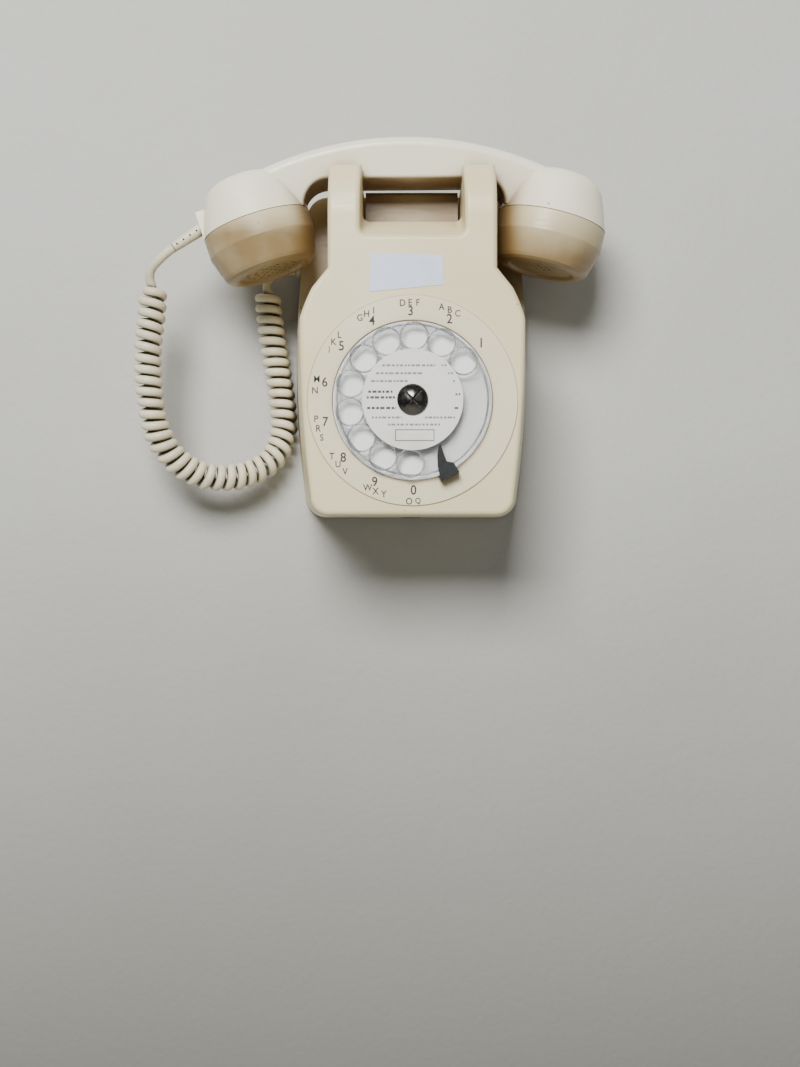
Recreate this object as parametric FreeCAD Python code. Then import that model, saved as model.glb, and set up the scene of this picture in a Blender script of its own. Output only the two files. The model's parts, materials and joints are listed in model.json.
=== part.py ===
"""Wall telephone with a rotary dial, a horizontal handset on two horns and a curly handset cord.

Row frame: +X to the right as seen from the front, +Y into the wall, +Z up, millimetres.
The origin is on the wall, at the centre of the four wall screw holes.
Inside this file a place is given as (x, d, z): d is the depth behind the front face and z the
height above the dial's centre, and at() turns them into the row frame.
"""

import FreeCAD
import Part
import math
import os

from FreeCAD import Placement, Rotation, Vector

# ---- driving dimensions: case ----------------------------------------------------------------
CASE_DEPTH = 85.0            # front face to wall
WALL = 2.5                   # moulded wall
FRONT_BOTTOM_HALF = 52.0     # half widths of the front outline
FRONT_MID_HALF = 57.5
FRONT_TOP_HALF = 53.5
BACK_BOTTOM_HALF = 60.5      # half widths of the outline at the wall
BACK_MID_HALF = 65.5
BACK_TOP_HALF = 59.5
BODY_BELOW_DIAL = 59.0       # dial centre down to the bottom face
FRONT_ABOVE_DIAL = 126.0     # dial centre up to the top, at the front before the horns are trimmed
BACK_ABOVE_DIAL = 119.7      # and at the wall
FRONT_CORNER = 9.0
BACK_CORNER = 12.0
FRONT_ROUND = 2.6            # rounding round the front face
DIAL_Z = -31.0               # dial centre, above the row's origin

# neck, horns, trough
NECK_HALF = 43.7
NECK_FLARE = -0.03            # widening of the neck per mm of depth, negative where it narrows
SHOULDER_Z = 68.0
SHOULDER_SLOPE = 1.25
SHOULDER_TURN_X = 51.5       # where the shoulder starts to round into the side
SHOULDER_RISE = 0.17         # rise of the shoulder per mm of depth
NOTCH_DEPTH = 70.0
HORN_DEPTH = 19.5
HORN_TOP = 124.0
HORN_LEAN = 11.0
HORN_LEAN_START = 96.0
SEAT_Z = 117.6
TROUGH_END = 70.0
WINDOW_HALF = 27.2
WINDOW_SILL_FRONT = 84.3
WINDOW_SILL_BACK = 95.9

# dial
RING_R = 54.0
RING_BORE_R = 41.0
RING_T = 3.3
RING_PROUD = 0.8
WHEEL_R = 40.2
WHEEL_T = 3.0
WHEEL_BACK_D = -2.2          # depth of the wheel's back face, negative is in front of the case
HOLE_CIRCLE_R = 32.5
HOLE_R = 6.5
HOLE_COUNT = 10
HOLE_FIRST_DEG = 37.2
HOLE_PITCH_DEG = 25.65
STOP_DEG = -64.0
CARD_R = 25.8
CARD_T = 0.6
CAP_R = 7.9
CAP_H = 4.2
SHAFT_R = 3.0
DIAL_FRAME_R = 38.0
DIAL_FRAME_D = 5.6
DIAL_REAR_D = 38.0
DIAL_PLATE_T = 2.0

# gears of the dial
GEAR_MODULE = 0.8
GEAR_TEETH = 60
PINION_TEETH = 12
FAST_MODULE = 0.5
FAST_TEETH = 40
GOVERNOR_TEETH = 10
IMPULSE_DEG = 200.0
GOVERNOR_DEG = 270.0

# handset
CUP_R = 29.2
CUP_SPACING = 79.6           # handset centre to the middle of each cup
MOUTH_CANT = 17.4            # lean of the mouthpiece cup's axis, outwards
EAR_CANT = 14.2              # and of the earpiece cup's
CUP_H = 26.0
CAP_BAND = 11.8
CAP_FACE = 27.2
THREAD_H = 2.5
CAPSULE_R = 20.0
HANDLE_UNDER = 21.2
HANDLE_TOP = 42.8
HANDLE_ARC_R = 190.0
HANDLE_HALF_LOW = 15.0
HANDLE_HALF_HIGH = 19.5
HANDSET_WALL = 2.6
HANDLE_TOP_ROUND = 4.5
HANDLE_LOW_ROUND = 2.0
HANDSET_X = -4.0
HANDSET_D = 37.0
HANDSET_ROLL = -0.75
HANDSET_YAW = 1.0
HANDSET_GAP = 2.3            # handle's underside above the seat, at its middle

# cord
CORD_D = 4.6
COIL_OUTER_D = 15.6

# clearances
FIT = 0.15
RUN = 0.05                   # radial running clearance of a shaft

# base plate and wall screws
BASE_T = 3.0
WALL_HOLE_R = 2.6
WALL_HOLES_X = 80.0
WALL_HOLES_Z = 120.0

# hook lever
LEVER_HALF = WINDOW_HALF - 2.0
LEVER_FRONT_D = 48.0
LEVER_T = 3.6
LEVER_TOP_Z = 118.6
LEVER_SKIRT_LOW = WINDOW_SILL_BACK + 3.0
LEVER_ARM_X = 18.0
LEVER_ARM_W = 4.0
EAR_GAP = 0.6
EAR_T = 1.6
LEVER_ARM_LOW = 106.0
LEVER_AXLE_D = 76.6
LEVER_EYE_R = 3.4
LEVER_NOSE_ROUND = 2.4
LEVER_AXLE_Z = 108.5
LEVER_AXLE_R = 1.5

# cord glands, inlet and cover screws
GLAND_R = 3.6
GLAND_AT_D = 77.4
GLAND_AT_Z = 81.0
GLAND_OUT_X = BACK_MID_HALF - 0.5
INLET_R = 4.0
COVER_SCREW_R = 1.9
COVER_SCREW_X = 34.0
COVER_SCREW_H = 9.0
COVER_HEAD_R = 3.4
COVER_HEAD_H = 1.2
GROMMET_PROUD = 0.4
GROMMET_LIP_H = 1.0
GROMMET_LIP_R = 5.3

# dial fixings
DIAL_LUG_DEGS = (90, 210, 330)
DIAL_LUG_R = 44.0
DIAL_PILLAR_DEGS = (60, 135, 300)
DIAL_PILLAR_R = 31.0
DIAL_SCREW_R = 1.5

# handset cord gland
GLAND_DROP_DEG = 33.0
GLAND_LENGTH = 20.0
GLAND_BIG_R = 3.6
GLAND_SMALL_R = 2.7
_a = math.radians(GLAND_DROP_DEG)
GLAND_DIR = Vector(-math.cos(_a), 0, -math.sin(_a))
GLAND_BASE = Vector(-CUP_SPACING - 27.6, 0, -0.5)

# sound holes, (count, circle radius)
SOUND_HOLE_R = 0.85
MIC_RINGS = [(1, 0.0), (6, 4.4), (12, 8.8), (18, 13.2)]
EAR_RINGS = [(1, 0.0), (6, 4.4)]

# ringer
GONG_X = 24.5
GONG_Z = -22.0
GONG_R = 17.0
GONG_H = 11.0
GONG_T = 1.4
GONG_STAND = 12.0
CLAPPER_Z = 6.0
BALL_R = 5.2
CLAPPER_D = 16.0              # pivot, rod and ball, in front of the base plate
COIL_D = 12.0
COIL_TOP = 21.0
PIVOT_R = 1.0

# circuit board, BOARD_H in front of the base plate
BOARD_LOW = 33.0
BOARD_HIGH = 78.0
BOARD_HALF = 38.0
BOARD_H = 8.0

parts = {}


# ---- helpers ---------------------------------------------------------------------------------
def at(x, d, z):
    """Row-frame point of a place given as x, depth behind the front face, height above the dial."""
    return Vector(x, d - CASE_DEPTH, z + DIAL_Z)


def back(h):
    """Depth of a point h in front of the base plate's front face."""
    return CASE_DEPTH - BASE_T - h


def box(x0, x1, d0, d1, z0, z1):
    return Part.makeBox(x1 - x0, d1 - d0, z1 - z0, at(x0, d0, z0))


def rod(x, z, r, d0, d1):
    """Cylinder along the depth direction."""
    return Part.makeCylinder(r, d1 - d0, at(x, d0, z), Vector(0, 1, 0))


def tube(x, z, r_out, r_in, d0, d1):
    return rod(x, z, r_out, d0, d1).cut(rod(x, z, r_in, d0 - 1, d1 + 1))


def fused(shapes):
    shapes = list(shapes)
    whole = shapes[0]
    if len(shapes) > 1:
        whole = whole.fuse(shapes[1:])
    return whole.removeSplitter()


def polar(r, degrees):
    a = math.radians(degrees)
    return r * math.cos(a), r * math.sin(a)


def extrude_yz(points, x0, x1):
    """Prism along X from an outline of (d, z) points."""
    ring = [at(x0, d, z) for d, z in points]
    face = Part.Face(Part.makePolygon(ring + ring[:1]))
    return face.extrude(Vector(x1 - x0, 0, 0))


def extrude_xz(points, d0, d1):
    """Prism along the depth from an outline of (x, z) points."""
    ring = [at(x, d0, z) for x, z in points]
    face = Part.Face(Part.makePolygon(ring + ring[:1]))
    return face.extrude(Vector(0, d1 - d0, 0))


def revolve_profile(points):
    """Solid of revolution about Z from (r, w) points."""
    ring = [Vector(r, 0, w) for r, w in points]
    face = Part.Face(Part.makePolygon(ring + ring[:1]))
    return face.revolve(Vector(0, 0, 0), Vector(0, 0, 1), 360)


def mirrored(shape):
    return shape.mirror(Vector(0, 0, 0), Vector(1, 0, 0))


def arc(a, b, c):
    return Part.Arc(a, b, c).toShape()


def add(name, shape):
    parts[name] = shape


# ---- case ------------------------------------------------------------------------------------
def case_outline(d, halves, z_low, z_high, r_low, r_high, inset):
    """Closed outline of the case at one depth: barrel sides and rounded corners."""
    low, mid, high = (h - inset for h in halves)
    z_low, z_high = z_low + inset, z_high - inset
    r_low, r_high = r_low - inset * 0.6, r_high - inset * 0.6
    z_mid = z_low + (z_high - z_low) * 0.42
    k = 1 - math.sqrt(0.5)

    def side(s):
        corner = [at(s * (low - r_low), d, z_low), at(s * (low - r_low * k), d, z_low + r_low * k),
                  at(s * low, d, z_low + r_low)]
        top = [at(s * high, d, z_high - r_high), at(s * (high - r_high * k), d, z_high - r_high * k),
               at(s * (high - r_high), d, z_high)]
        return corner, at(s * mid, d, z_mid), top

    (rc, rm, rt), (lc, lm, lt) = side(1), side(-1)
    edges = [Part.LineSegment(lc[0], rc[0]).toShape(), arc(*rc), arc(rc[2], rm, rt[0]), arc(*rt),
             Part.LineSegment(rt[2], lt[2]).toShape(), arc(*lt[::-1]), arc(lt[0], lm, lc[2]),
             arc(*lc[::-1])]
    return Part.Wire(edges)


def flared_body(inset):
    """The case with no notches: front outline lofted to the wall outline."""
    front = case_outline(inset, (FRONT_BOTTOM_HALF, FRONT_MID_HALF, FRONT_TOP_HALF),
                         -BODY_BELOW_DIAL, FRONT_ABOVE_DIAL, FRONT_CORNER, FRONT_CORNER, inset)
    rear = case_outline(CASE_DEPTH, (BACK_BOTTOM_HALF, BACK_MID_HALF, BACK_TOP_HALF),
                        -BODY_BELOW_DIAL, BACK_ABOVE_DIAL, BACK_CORNER, BACK_CORNER, inset)
    body = Part.makeLoft([front, rear], True, True)
    if inset:
        body = body.fuse(body.copy().translated(Vector(0, 2 * inset, 0)))
    return body


def notch_cutter(grow):
    """Space beside the neck where one handset cup hangs (right side)."""
    far, top = BACK_MID_HALF + 30, FRONT_ABOVE_DIAL + 20
    side_flare = (BACK_MID_HALF - FRONT_MID_HALF) / CASE_DEPTH

    def outline(d):
        neck = NECK_HALF + NECK_FLARE * d - grow
        low = SHOULDER_Z + SHOULDER_RISE * d - grow
        turn_x = SHOULDER_TURN_X + side_flare * d - grow * 0.5
        turn_z = low - (turn_x - neck) * SHOULDER_SLOPE
        bend = [at(turn_x, d, turn_z), at(turn_x + 4.9, d, turn_z - 11.5), at(turn_x + 8.7, d, turn_z - 30.0)]
        end = at(far, d, turn_z - 30.0)
        corners = [at(neck, d, top), at(neck, d, low), bend[0]]
        edges = [Part.LineSegment(a, b).toShape() for a, b in zip(corners, corners[1:])]
        edges += [arc(*bend), Part.LineSegment(bend[2], end).toShape(),
                  Part.LineSegment(end, at(far, d, top)).toShape(),
                  Part.LineSegment(at(far, d, top), corners[0]).toShape()]
        return Part.Wire(edges)

    return [Part.makeLoft([outline(-2), outline(NOTCH_DEPTH + grow)], True, True)]


def trough_cutter(grow):
    """Channel across the neck for the handle, and the trim of the horn tips."""
    wide, top = BACK_MID_HALF + 30, FRONT_ABOVE_DIAL + 20
    front, rear, low = HORN_DEPTH - grow, TROUGH_END + grow, SEAT_Z - grow
    channel = extrude_yz([(front, top), (front, low + 2), (front + 2, low), (rear - 2, low),
                          (rear, low + 2), (rear, top)], -wide, wide)
    return [channel, box(-wide, wide, -5, HORN_DEPTH + 1, HORN_TOP - grow, top)]


def lean_cutter(grow):
    """Trims the horns' faces back in a curve towards their tops."""
    high = HORN_TOP + 2
    h, w = high - HORN_LEAN_START, HORN_LEAN * 1.15
    radius = (h * h + w * w) / (2 * w)
    half = math.asin(h / radius) / 2
    mid = (grow + radius - radius * math.cos(half), HORN_LEAN_START + radius * math.sin(half))
    p = [at(-90, -5, HORN_LEAN_START), at(-90, grow, HORN_LEAN_START), at(-90, mid[0], mid[1]),
         at(-90, grow + w, high), at(-90, -5, high)]
    wire = Part.Wire([Part.LineSegment(p[0], p[1]).toShape(), arc(p[1], p[2], p[3]),
                      Part.LineSegment(p[3], p[4]).toShape(), Part.LineSegment(p[4], p[0]).toShape()])
    return Part.Face(wire).extrude(Vector(180, 0, 0))


def window_cutter(grow):
    """Window between the horns with its sloping sill, and the pocket behind it."""
    top = FRONT_ABOVE_DIAL + 20
    slope = (WINDOW_SILL_BACK - WINDOW_SILL_FRONT) / HORN_DEPTH
    back_half = WINDOW_HALF - 1.0

    def outline(d, half, z, r):
        k = r * (1 - math.sqrt(0.5))
        half, z, r = half + grow, z - grow * 1.2, r + grow * 0.5
        right = [at(half - r, d, z), at(half - k, d, z + k), at(half, d, z + r)]
        left = [at(-half, d, z + r), at(-half + k, d, z + k), at(-half + r, d, z)]
        return Part.Wire([
            Part.LineSegment(left[2], right[0]).toShape(), arc(*right),
            Part.LineSegment(right[2], at(half, d, top)).toShape(),
            Part.LineSegment(at(half, d, top), at(-half, d, top)).toShape(),
            Part.LineSegment(at(-half, d, top), left[0]).toShape(), arc(*left)])

    ramp = Part.makeLoft([outline(-2, WINDOW_HALF, WINDOW_SILL_FRONT - 2 * slope, 4.0),
                          outline(HORN_DEPTH, back_half, WINDOW_SILL_BACK, 4.0)], True, True)
    pocket = Part.Face(outline(HORN_DEPTH - 0.01, back_half, WINDOW_SILL_BACK, 4.0)).extrude(
        Vector(0, TROUGH_END + grow - HORN_DEPTH + 0.01, 0))
    return [ramp, pocket]


def case_solid(inset):
    body = flared_body(inset)
    right = notch_cutter(inset)
    cutters = right + [mirrored(c) for c in right] + trough_cutter(inset)
    cutters += [lean_cutter(inset)] + window_cutter(inset)
    return body.cut(cutters)


def front_edges(solid):
    """Edges round the front of the case, those of its flat face and of the leaning horn faces."""
    found = []
    for face in solid.Faces:
        c = face.CenterOfMass
        flat = abs(c.y + CASE_DEPTH) < 0.01
        horn = isinstance(face.Surface, Part.Cylinder) and c.z - DIAL_Z > HORN_LEAN_START \
            and c.y < HORN_DEPTH - CASE_DEPTH and abs(face.Surface.Axis.x) > 0.9
        if flat or horn:
            found += face.Edges
    unique = []
    for e in found:
        twins = [u for u in unique if u.isSame(e)]
        if twins:
            unique.remove(twins[0])
        else:
            unique.append(e)
    return unique


def make_cover():
    outer = case_solid(0)
    outer = outer.makeFillet(FRONT_ROUND, front_edges(outer))
    shell = outer.cut(case_solid(WALL))
    rim = tube(0, 0, RING_R + 1.5, RING_BORE_R + 6, WALL - 0.5, WALL + 3)
    shell = shell.fuse(rim)
    shell = shell.cut([rod(0, 0, RING_BORE_R + 6, -2, WALL + 4),
                       rod(0, 0, RING_R + FIT, -2, RING_T - RING_PROUD)])
    slots = [box(s * LEVER_ARM_X - LEVER_ARM_W / 2 - 1, s * LEVER_ARM_X + LEVER_ARM_W / 2 + 1,
                 TROUGH_END - 1, TROUGH_END + WALL + 1, LEVER_ARM_LOW - 2, SEAT_Z - 1) for s in (-1, 1)]
    gland_hole = Part.makeCylinder(GLAND_R + FIT, 14, at(-BACK_MID_HALF - 4, GLAND_AT_D, GLAND_AT_Z),
                                   Vector(1, 0, 0))
    screw_holes = [Part.makeCylinder(COVER_SCREW_R + 0.3, 6, at(s * COVER_SCREW_X, back(COVER_SCREW_H),
                   -BODY_BELOW_DIAL - 1), Vector(0, 0, 1)) for s in (-1, 1)]
    screw_holes += [Part.makeCylinder(COVER_HEAD_R + FIT, 1 + COVER_HEAD_H, at(s * COVER_SCREW_X,
                    back(COVER_SCREW_H), -BODY_BELOW_DIAL - 1), Vector(0, 0, 1)) for s in (-1, 1)]
    inlet = Part.makeCylinder(INLET_R + FIT, 6, at(0, back(INLET_R + 3), -BODY_BELOW_DIAL - 1),
                              Vector(0, 0, 1))
    inlet = inlet.fuse(Part.makeCylinder(GROMMET_LIP_R + FIT, 1 + GROMMET_LIP_H - GROMMET_PROUD,
                       at(0, back(INLET_R + 3), -BODY_BELOW_DIAL - 1), Vector(0, 0, 1)))
    return shell.cut(slots + [gland_hole, inlet] + screw_holes).removeSplitter()


# ---- hook lever ------------------------------------------------------------------------------
def make_lever():
    """Cradle bar between the horns, its two arms through the rear wall, and the switch finger."""
    top = LEVER_TOP_Z
    body = box(-LEVER_HALF, LEVER_HALF, LEVER_FRONT_D, LEVER_FRONT_D + LEVER_T, LEVER_SKIRT_LOW, top)
    body = body.fuse(box(-LEVER_HALF, LEVER_HALF, LEVER_FRONT_D + 1, LEVER_FRONT_D + 10, top - LEVER_T, top))
    body = body.removeSplitter()
    nose = [e for e in body.Edges if abs(e.BoundBox.XLength - 2 * LEVER_HALF) < 0.01
            and e.BoundBox.ZMax > top + DIAL_Z - 0.01 and e.BoundBox.YMax < LEVER_FRONT_D - CASE_DEPTH + 0.01]
    body = body.makeFillet(LEVER_NOSE_ROUND, nose)
    arms = []
    for s in (-1, 1):
        x0, x1 = s * LEVER_ARM_X - LEVER_ARM_W / 2, s * LEVER_ARM_X + LEVER_ARM_W / 2
        arms.append(box(x0, x1, LEVER_FRONT_D + 1, LEVER_AXLE_D, LEVER_ARM_LOW, LEVER_ARM_LOW + 5))
    sleeve = Part.makeCylinder(LEVER_EYE_R, 2 * LEVER_ARM_X + LEVER_ARM_W,
                               at(-LEVER_ARM_X - LEVER_ARM_W / 2, LEVER_AXLE_D, LEVER_AXLE_Z), Vector(1, 0, 0))
    finger = box(-3, 3, LEVER_AXLE_D - 1.2, LEVER_AXLE_D + 1.2, LEVER_AXLE_Z - 11, LEVER_AXLE_Z - 2)
    bore = Part.makeCylinder(LEVER_AXLE_R + RUN, 60, at(-30, LEVER_AXLE_D, LEVER_AXLE_Z), Vector(1, 0, 0))
    return fused([body, sleeve, finger] + arms).cut(bore)


def make_hook_bracket():
    """Sheet bracket on the base plate whose two ears carry the lever's axle."""
    inner = LEVER_ARM_X + LEVER_ARM_W / 2 + EAR_GAP
    ears = []
    for s in (-1, 1):
        x0, x1 = sorted((s * inner, s * (inner + EAR_T)))
        ears.append(box(x0, x1, LEVER_AXLE_D - LEVER_EYE_R, back(0), LEVER_AXLE_Z - 14, LEVER_AXLE_Z + 4))
    plate = box(-inner - EAR_T, inner + EAR_T, back(EAR_T), back(0), LEVER_AXLE_Z - 40, LEVER_AXLE_Z - 33)
    straps = [box(min(s * inner, s * (inner + EAR_T)), max(s * inner, s * (inner + EAR_T)), back(EAR_T),
                  back(0), LEVER_AXLE_Z - 37, LEVER_AXLE_Z - 10) for s in (-1, 1)]
    bore = Part.makeCylinder(LEVER_AXLE_R, 60, at(-30, LEVER_AXLE_D, LEVER_AXLE_Z), Vector(1, 0, 0))
    return fused([plate] + straps + ears).cut(bore)


# ---- dial ------------------------------------------------------------------------------------
def gear(teeth, module, x, z, d0, d1, turn=0.0):
    """Spur gear with slim straight-flanked teeth; turn sets where the first tooth stands."""
    pitch_r = teeth * module / 2
    root, tip = pitch_r - 1.1 * module, pitch_r + 0.75 * module
    step = 2 * math.pi / teeth
    points = []
    for i in range(teeth):
        mid = math.radians(turn) + i * step
        for r, share in ((root, -0.26), (tip, -0.11), (tip, 0.11), (root, 0.26)):
            a = mid + share * step
            points.append((x + r * math.cos(a), z + r * math.sin(a)))
    return extrude_xz(points, d0, d1)


def make_ring():
    ring = tube(0, 0, RING_R, RING_BORE_R, -RING_PROUD, RING_T - RING_PROUD)
    rims = [e for e in ring.Edges if e.BoundBox.YMin < -CASE_DEPTH - RING_PROUD + 0.01]
    return ring.makeFillet(0.5, rims)


def make_wheel():
    """Clear finger wheel: rimmed disc with ten bevelled finger holes and a bored hub."""
    front, rear = WHEEL_BACK_D - WHEEL_T, WHEEL_BACK_D
    disc = rod(0, 0, WHEEL_R, front, rear)
    rim = [e for e in disc.Edges if len(e.Vertexes) == 1 and e.BoundBox.YMax < rear - CASE_DEPTH - 0.1]
    disc = disc.makeChamfer(1.2, rim)
    disc = disc.fuse(rod(0, 0, 7.0, rear - 0.5, rear + 1.6))
    cuts = [rod(0, 0, SHAFT_R - 1.0, front - 1, rear + 3)]
    for i in range(HOLE_COUNT):
        x, z = polar(HOLE_CIRCLE_R, HOLE_FIRST_DEG + i * HOLE_PITCH_DEG)
        cuts.append(rod(x, z, HOLE_R, front - 1, rear + 1))
        bevel = Part.makeCone(HOLE_R + 0.8, HOLE_R - 0.2, 1.0, at(x, front - 0.01, z), Vector(0, 1, 0))
        cuts.append(bevel)
    return disc.cut(cuts)


def make_dial_cap():
    """Domed metal screw with a cross recess, and its shank down into the shaft."""
    front = WHEEL_BACK_D - WHEEL_T - CARD_T
    radius = (CAP_R ** 2 + (CAP_H - 0.8) ** 2) / (2 * (CAP_H - 0.8))
    ball = Part.makeSphere(radius, at(0, front - CAP_H + radius, 0))
    dome = ball.common(rod(0, 0, CAP_R, front - CAP_H - 1, front))
    recess = []
    for turn in (45, 135):
        bar = Part.makeBox(12.5, 3.0, 1.3, Vector(-6.25, -1.5, -0.65))
        bar.Placement = Placement(at(0, front - CAP_H + 0.9, 0), Rotation(Vector(0, 1, 0), turn))
        recess.append(bar)
    shank = rod(0, 0, SHAFT_R - 1.2, front - 0.5, 6)
    return dome.cut(recess).fuse(shank).removeSplitter()


def make_shaft():
    """Hollow dial shaft with its gear; it turns with the finger wheel."""
    start = WHEEL_BACK_D + 1.6
    shaft = rod(0, 0, SHAFT_R, start, DIAL_REAR_D + DIAL_PLATE_T + 1.0)
    wheel = gear(GEAR_TEETH, GEAR_MODULE, 0, 0, 10, 12)
    lightening = [rod(*polar(13.5, a), 4.5, 9, 13) for a in range(0, 360, 72)]
    flange = rod(0, 0, 5.5, 8.6, 13.6)
    return fused([shaft, wheel.cut(lightening), flange]).cut(rod(0, 0, SHAFT_R - 1.0, start - 1, 8))


def gear_places():
    reach = (GEAR_TEETH + PINION_TEETH) * GEAR_MODULE / 2
    ix, iz = polar(reach, IMPULSE_DEG)
    gx, gz = polar((FAST_TEETH + GOVERNOR_TEETH) * FAST_MODULE / 2, GOVERNOR_DEG)
    return (ix, iz), (ix + gx, iz + gz)


def mesh_turn(teeth_driver, turn_driver, teeth, direction):
    """Turn of a gear so that a gap faces the driver's tooth along a direction in degrees."""
    driver_phase = ((direction - turn_driver) / (360 / teeth_driver)) % 1
    return direction + 180 - (0.5 - driver_phase) * (360 / teeth)


def make_impulse():
    (x, z), _ = gear_places()
    turn = mesh_turn(GEAR_TEETH, 0, PINION_TEETH, IMPULSE_DEG)
    pinion = gear(PINION_TEETH, GEAR_MODULE, x, z, 9.2, 12.8, turn)
    fast = gear(FAST_TEETH, FAST_MODULE, x, z, 26, 27.6, 0)
    cam = rod(x, z, 5.0, 17, 19).cut([box(x - 6, x - 3.4, 16, 20, z - 6, z + 6),
                                      box(x + 3.4, x + 6, 16, 20, z - 6, z + 6)])
    axle = rod(x, z, 1.5, DIAL_FRAME_D + 0.3, DIAL_REAR_D + DIAL_PLATE_T)
    return fused([pinion, fast, cam, axle])


def make_governor():
    (_, _), (x, z) = gear_places()
    turn = mesh_turn(FAST_TEETH, 0, GOVERNOR_TEETH, GOVERNOR_DEG)
    pinion = gear(GOVERNOR_TEETH, FAST_MODULE, x, z, 25.5, 28.1, turn)
    axle = rod(x, z, 1.0, 20, DIAL_REAR_D + DIAL_PLATE_T)
    bar = box(x - 6.2, x + 6.2, 31, 32.2, z - 1.2, z + 1.2)
    weights = [rod(x + s * 5.0, z, 2.0, 30.2, 34.5) for s in (-1, 1)]
    return fused([pinion, axle, bar] + weights)


def make_dial_frame():
    """Front plate of the dial mechanism, with its three lugs and the three pillars."""
    (ix, iz), _ = gear_places()
    plate = rod(0, 0, DIAL_FRAME_R, DIAL_FRAME_D, DIAL_FRAME_D + DIAL_PLATE_T)
    lugs, pillars, holes = [], [], []
    for a in DIAL_LUG_DEGS:
        x, z = polar(DIAL_LUG_R, a)
        lug = Part.makeBox(14, DIAL_PLATE_T, 11, Vector(DIAL_FRAME_R - 3, 0, -5.5))
        lug.Placement = Placement(at(0, DIAL_FRAME_D, 0), Rotation(Vector(0, 1, 0), -a))
        lugs.append(lug)
        holes.append(rod(x, z, DIAL_SCREW_R + 0.2, 0, 20))
    for a in DIAL_PILLAR_DEGS:
        x, z = polar(DIAL_PILLAR_R, a)
        pillars.append(rod(x, z, 2.5, DIAL_FRAME_D + 1, DIAL_REAR_D - FIT))
    holes += [rod(0, 0, SHAFT_R + RUN, 0, 20), rod(ix, iz, 1.5 + RUN, 0, 20)]
    return fused([plate] + lugs + pillars).cut(holes)


def make_dial_rear():
    (ix, iz), (gx, gz) = gear_places()
    plate = rod(0, 0, DIAL_FRAME_R - 2, DIAL_REAR_D, DIAL_REAR_D + DIAL_PLATE_T)
    wing = rod(gx, gz, 10.5, DIAL_REAR_D, DIAL_REAR_D + DIAL_PLATE_T)
    holes = [rod(0, 0, SHAFT_R + RUN, 30, 50), rod(ix, iz, 1.5 + RUN, 30, 50),
             rod(gx, gz, 1.0 + RUN, 30, 50)]
    holes += [rod(*polar(DIAL_PILLAR_R, a), 1.6, 30, 50) for a in DIAL_PILLAR_DEGS]
    return fused([plate, wing]).cut(holes)


def make_governor_cup():
    """Brake drum round the flyweights, with the post that steadies the governor's front end."""
    _, (x, z) = gear_places()
    drum = tube(x, z, 9.6, 8.4, 29.8, DIAL_REAR_D - FIT)
    return drum


def make_spring_barrel():
    drum = tube(0, 0, 15.0, 14.0, 16, 24)
    lid = tube(0, 0, 14.5, SHAFT_R + 0.6, 24, 25)
    posts = [rod(*polar(14.5, a), 1.6, 24.5, DIAL_REAR_D - FIT) for a in (30, 150, 270)]
    return fused([drum, lid] + posts)


def make_return_spring():
    """Flat spiral spring: a strip wound between the shaft and the barrel."""
    turns, r0, r1, t = 5, 5.0, 13.4, 0.5
    steps = 24 * turns
    inner, outer = [], []
    for i in range(steps + 1):
        a = 2 * math.pi * turns * i / steps
        r = r0 + (r1 - r0) * i / steps
        inner.append((r * math.cos(a), r * math.sin(a)))
        outer.append(((r + t) * math.cos(a), (r + t) * math.sin(a)))
    return extrude_xz(inner + outer[::-1], 17, 23)


def make_dial_contacts():
    """Impulse contact blades in their insulated clamp, beside the cam."""
    (x, z), _ = gear_places()
    clamp = box(x - 4, x + 8, 14.5, 22.5, z + 14, z + 22)
    blades = [box(x + 6.2 + 0.9 * i, x + 6.6 + 0.9 * i, 16, 20, z - 4 + 3 * i, z + 15) for i in range(2)]
    feet = box(x - 4, x, DIAL_FRAME_D + DIAL_PLATE_T, 15, z + 15, z + 21)
    return fused([clamp, feet] + blades)


def make_stop():
    """Finger stop: a curved tapered tongue over the wheel, standing on a post beside its rim."""
    front = WHEEL_BACK_D - WHEEL_T
    low, high = front - 2.2, front - 0.7
    a = math.radians(STOP_DEG)
    ux, uz, vx, vz = math.cos(a), math.sin(a), -math.sin(a), math.cos(a)

    def place(r, s):
        return r * ux + s * vx, r * uz + s * vz

    tip, foot = CARD_R + 1.2, WHEEL_R + 3.4
    left = [place(tip, 1.6), place(31.0, -1.2), place(36.0, -3.4), place(foot, -5.2)]
    right = [place(foot, 5.2), place(38.0, 4.6), place(36.0, 1.8), place(31.0, 2.2), place(tip, 3.0)]
    tongue = extrude_xz(left + right, low, high)
    post_ring = [place(WHEEL_R + 0.8, -5.1), place(foot, -5.2), place(foot, 5.2), place(WHEEL_R + 0.8, 4.9)]
    post = extrude_xz(post_ring, low, -RING_PROUD)
    return fused([tongue, post])


# ---- handset, in its own frame: x along it, y depth, z up from the cups' joint -----------------
def cup_placement(side):
    """Frame of one cup: its axis leans outwards by the cant; side is -1 left, 1 right."""
    lean = -MOUTH_CANT if side < 0 else EAR_CANT
    return Placement(Vector(side * CUP_SPACING, 0, 0), Rotation(Vector(0, 1, 0), lean))


def cup_piece(shape, side):
    whole = shape.copy()
    whole.Placement = cup_placement(side).multiply(whole.Placement)
    return whole


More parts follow.
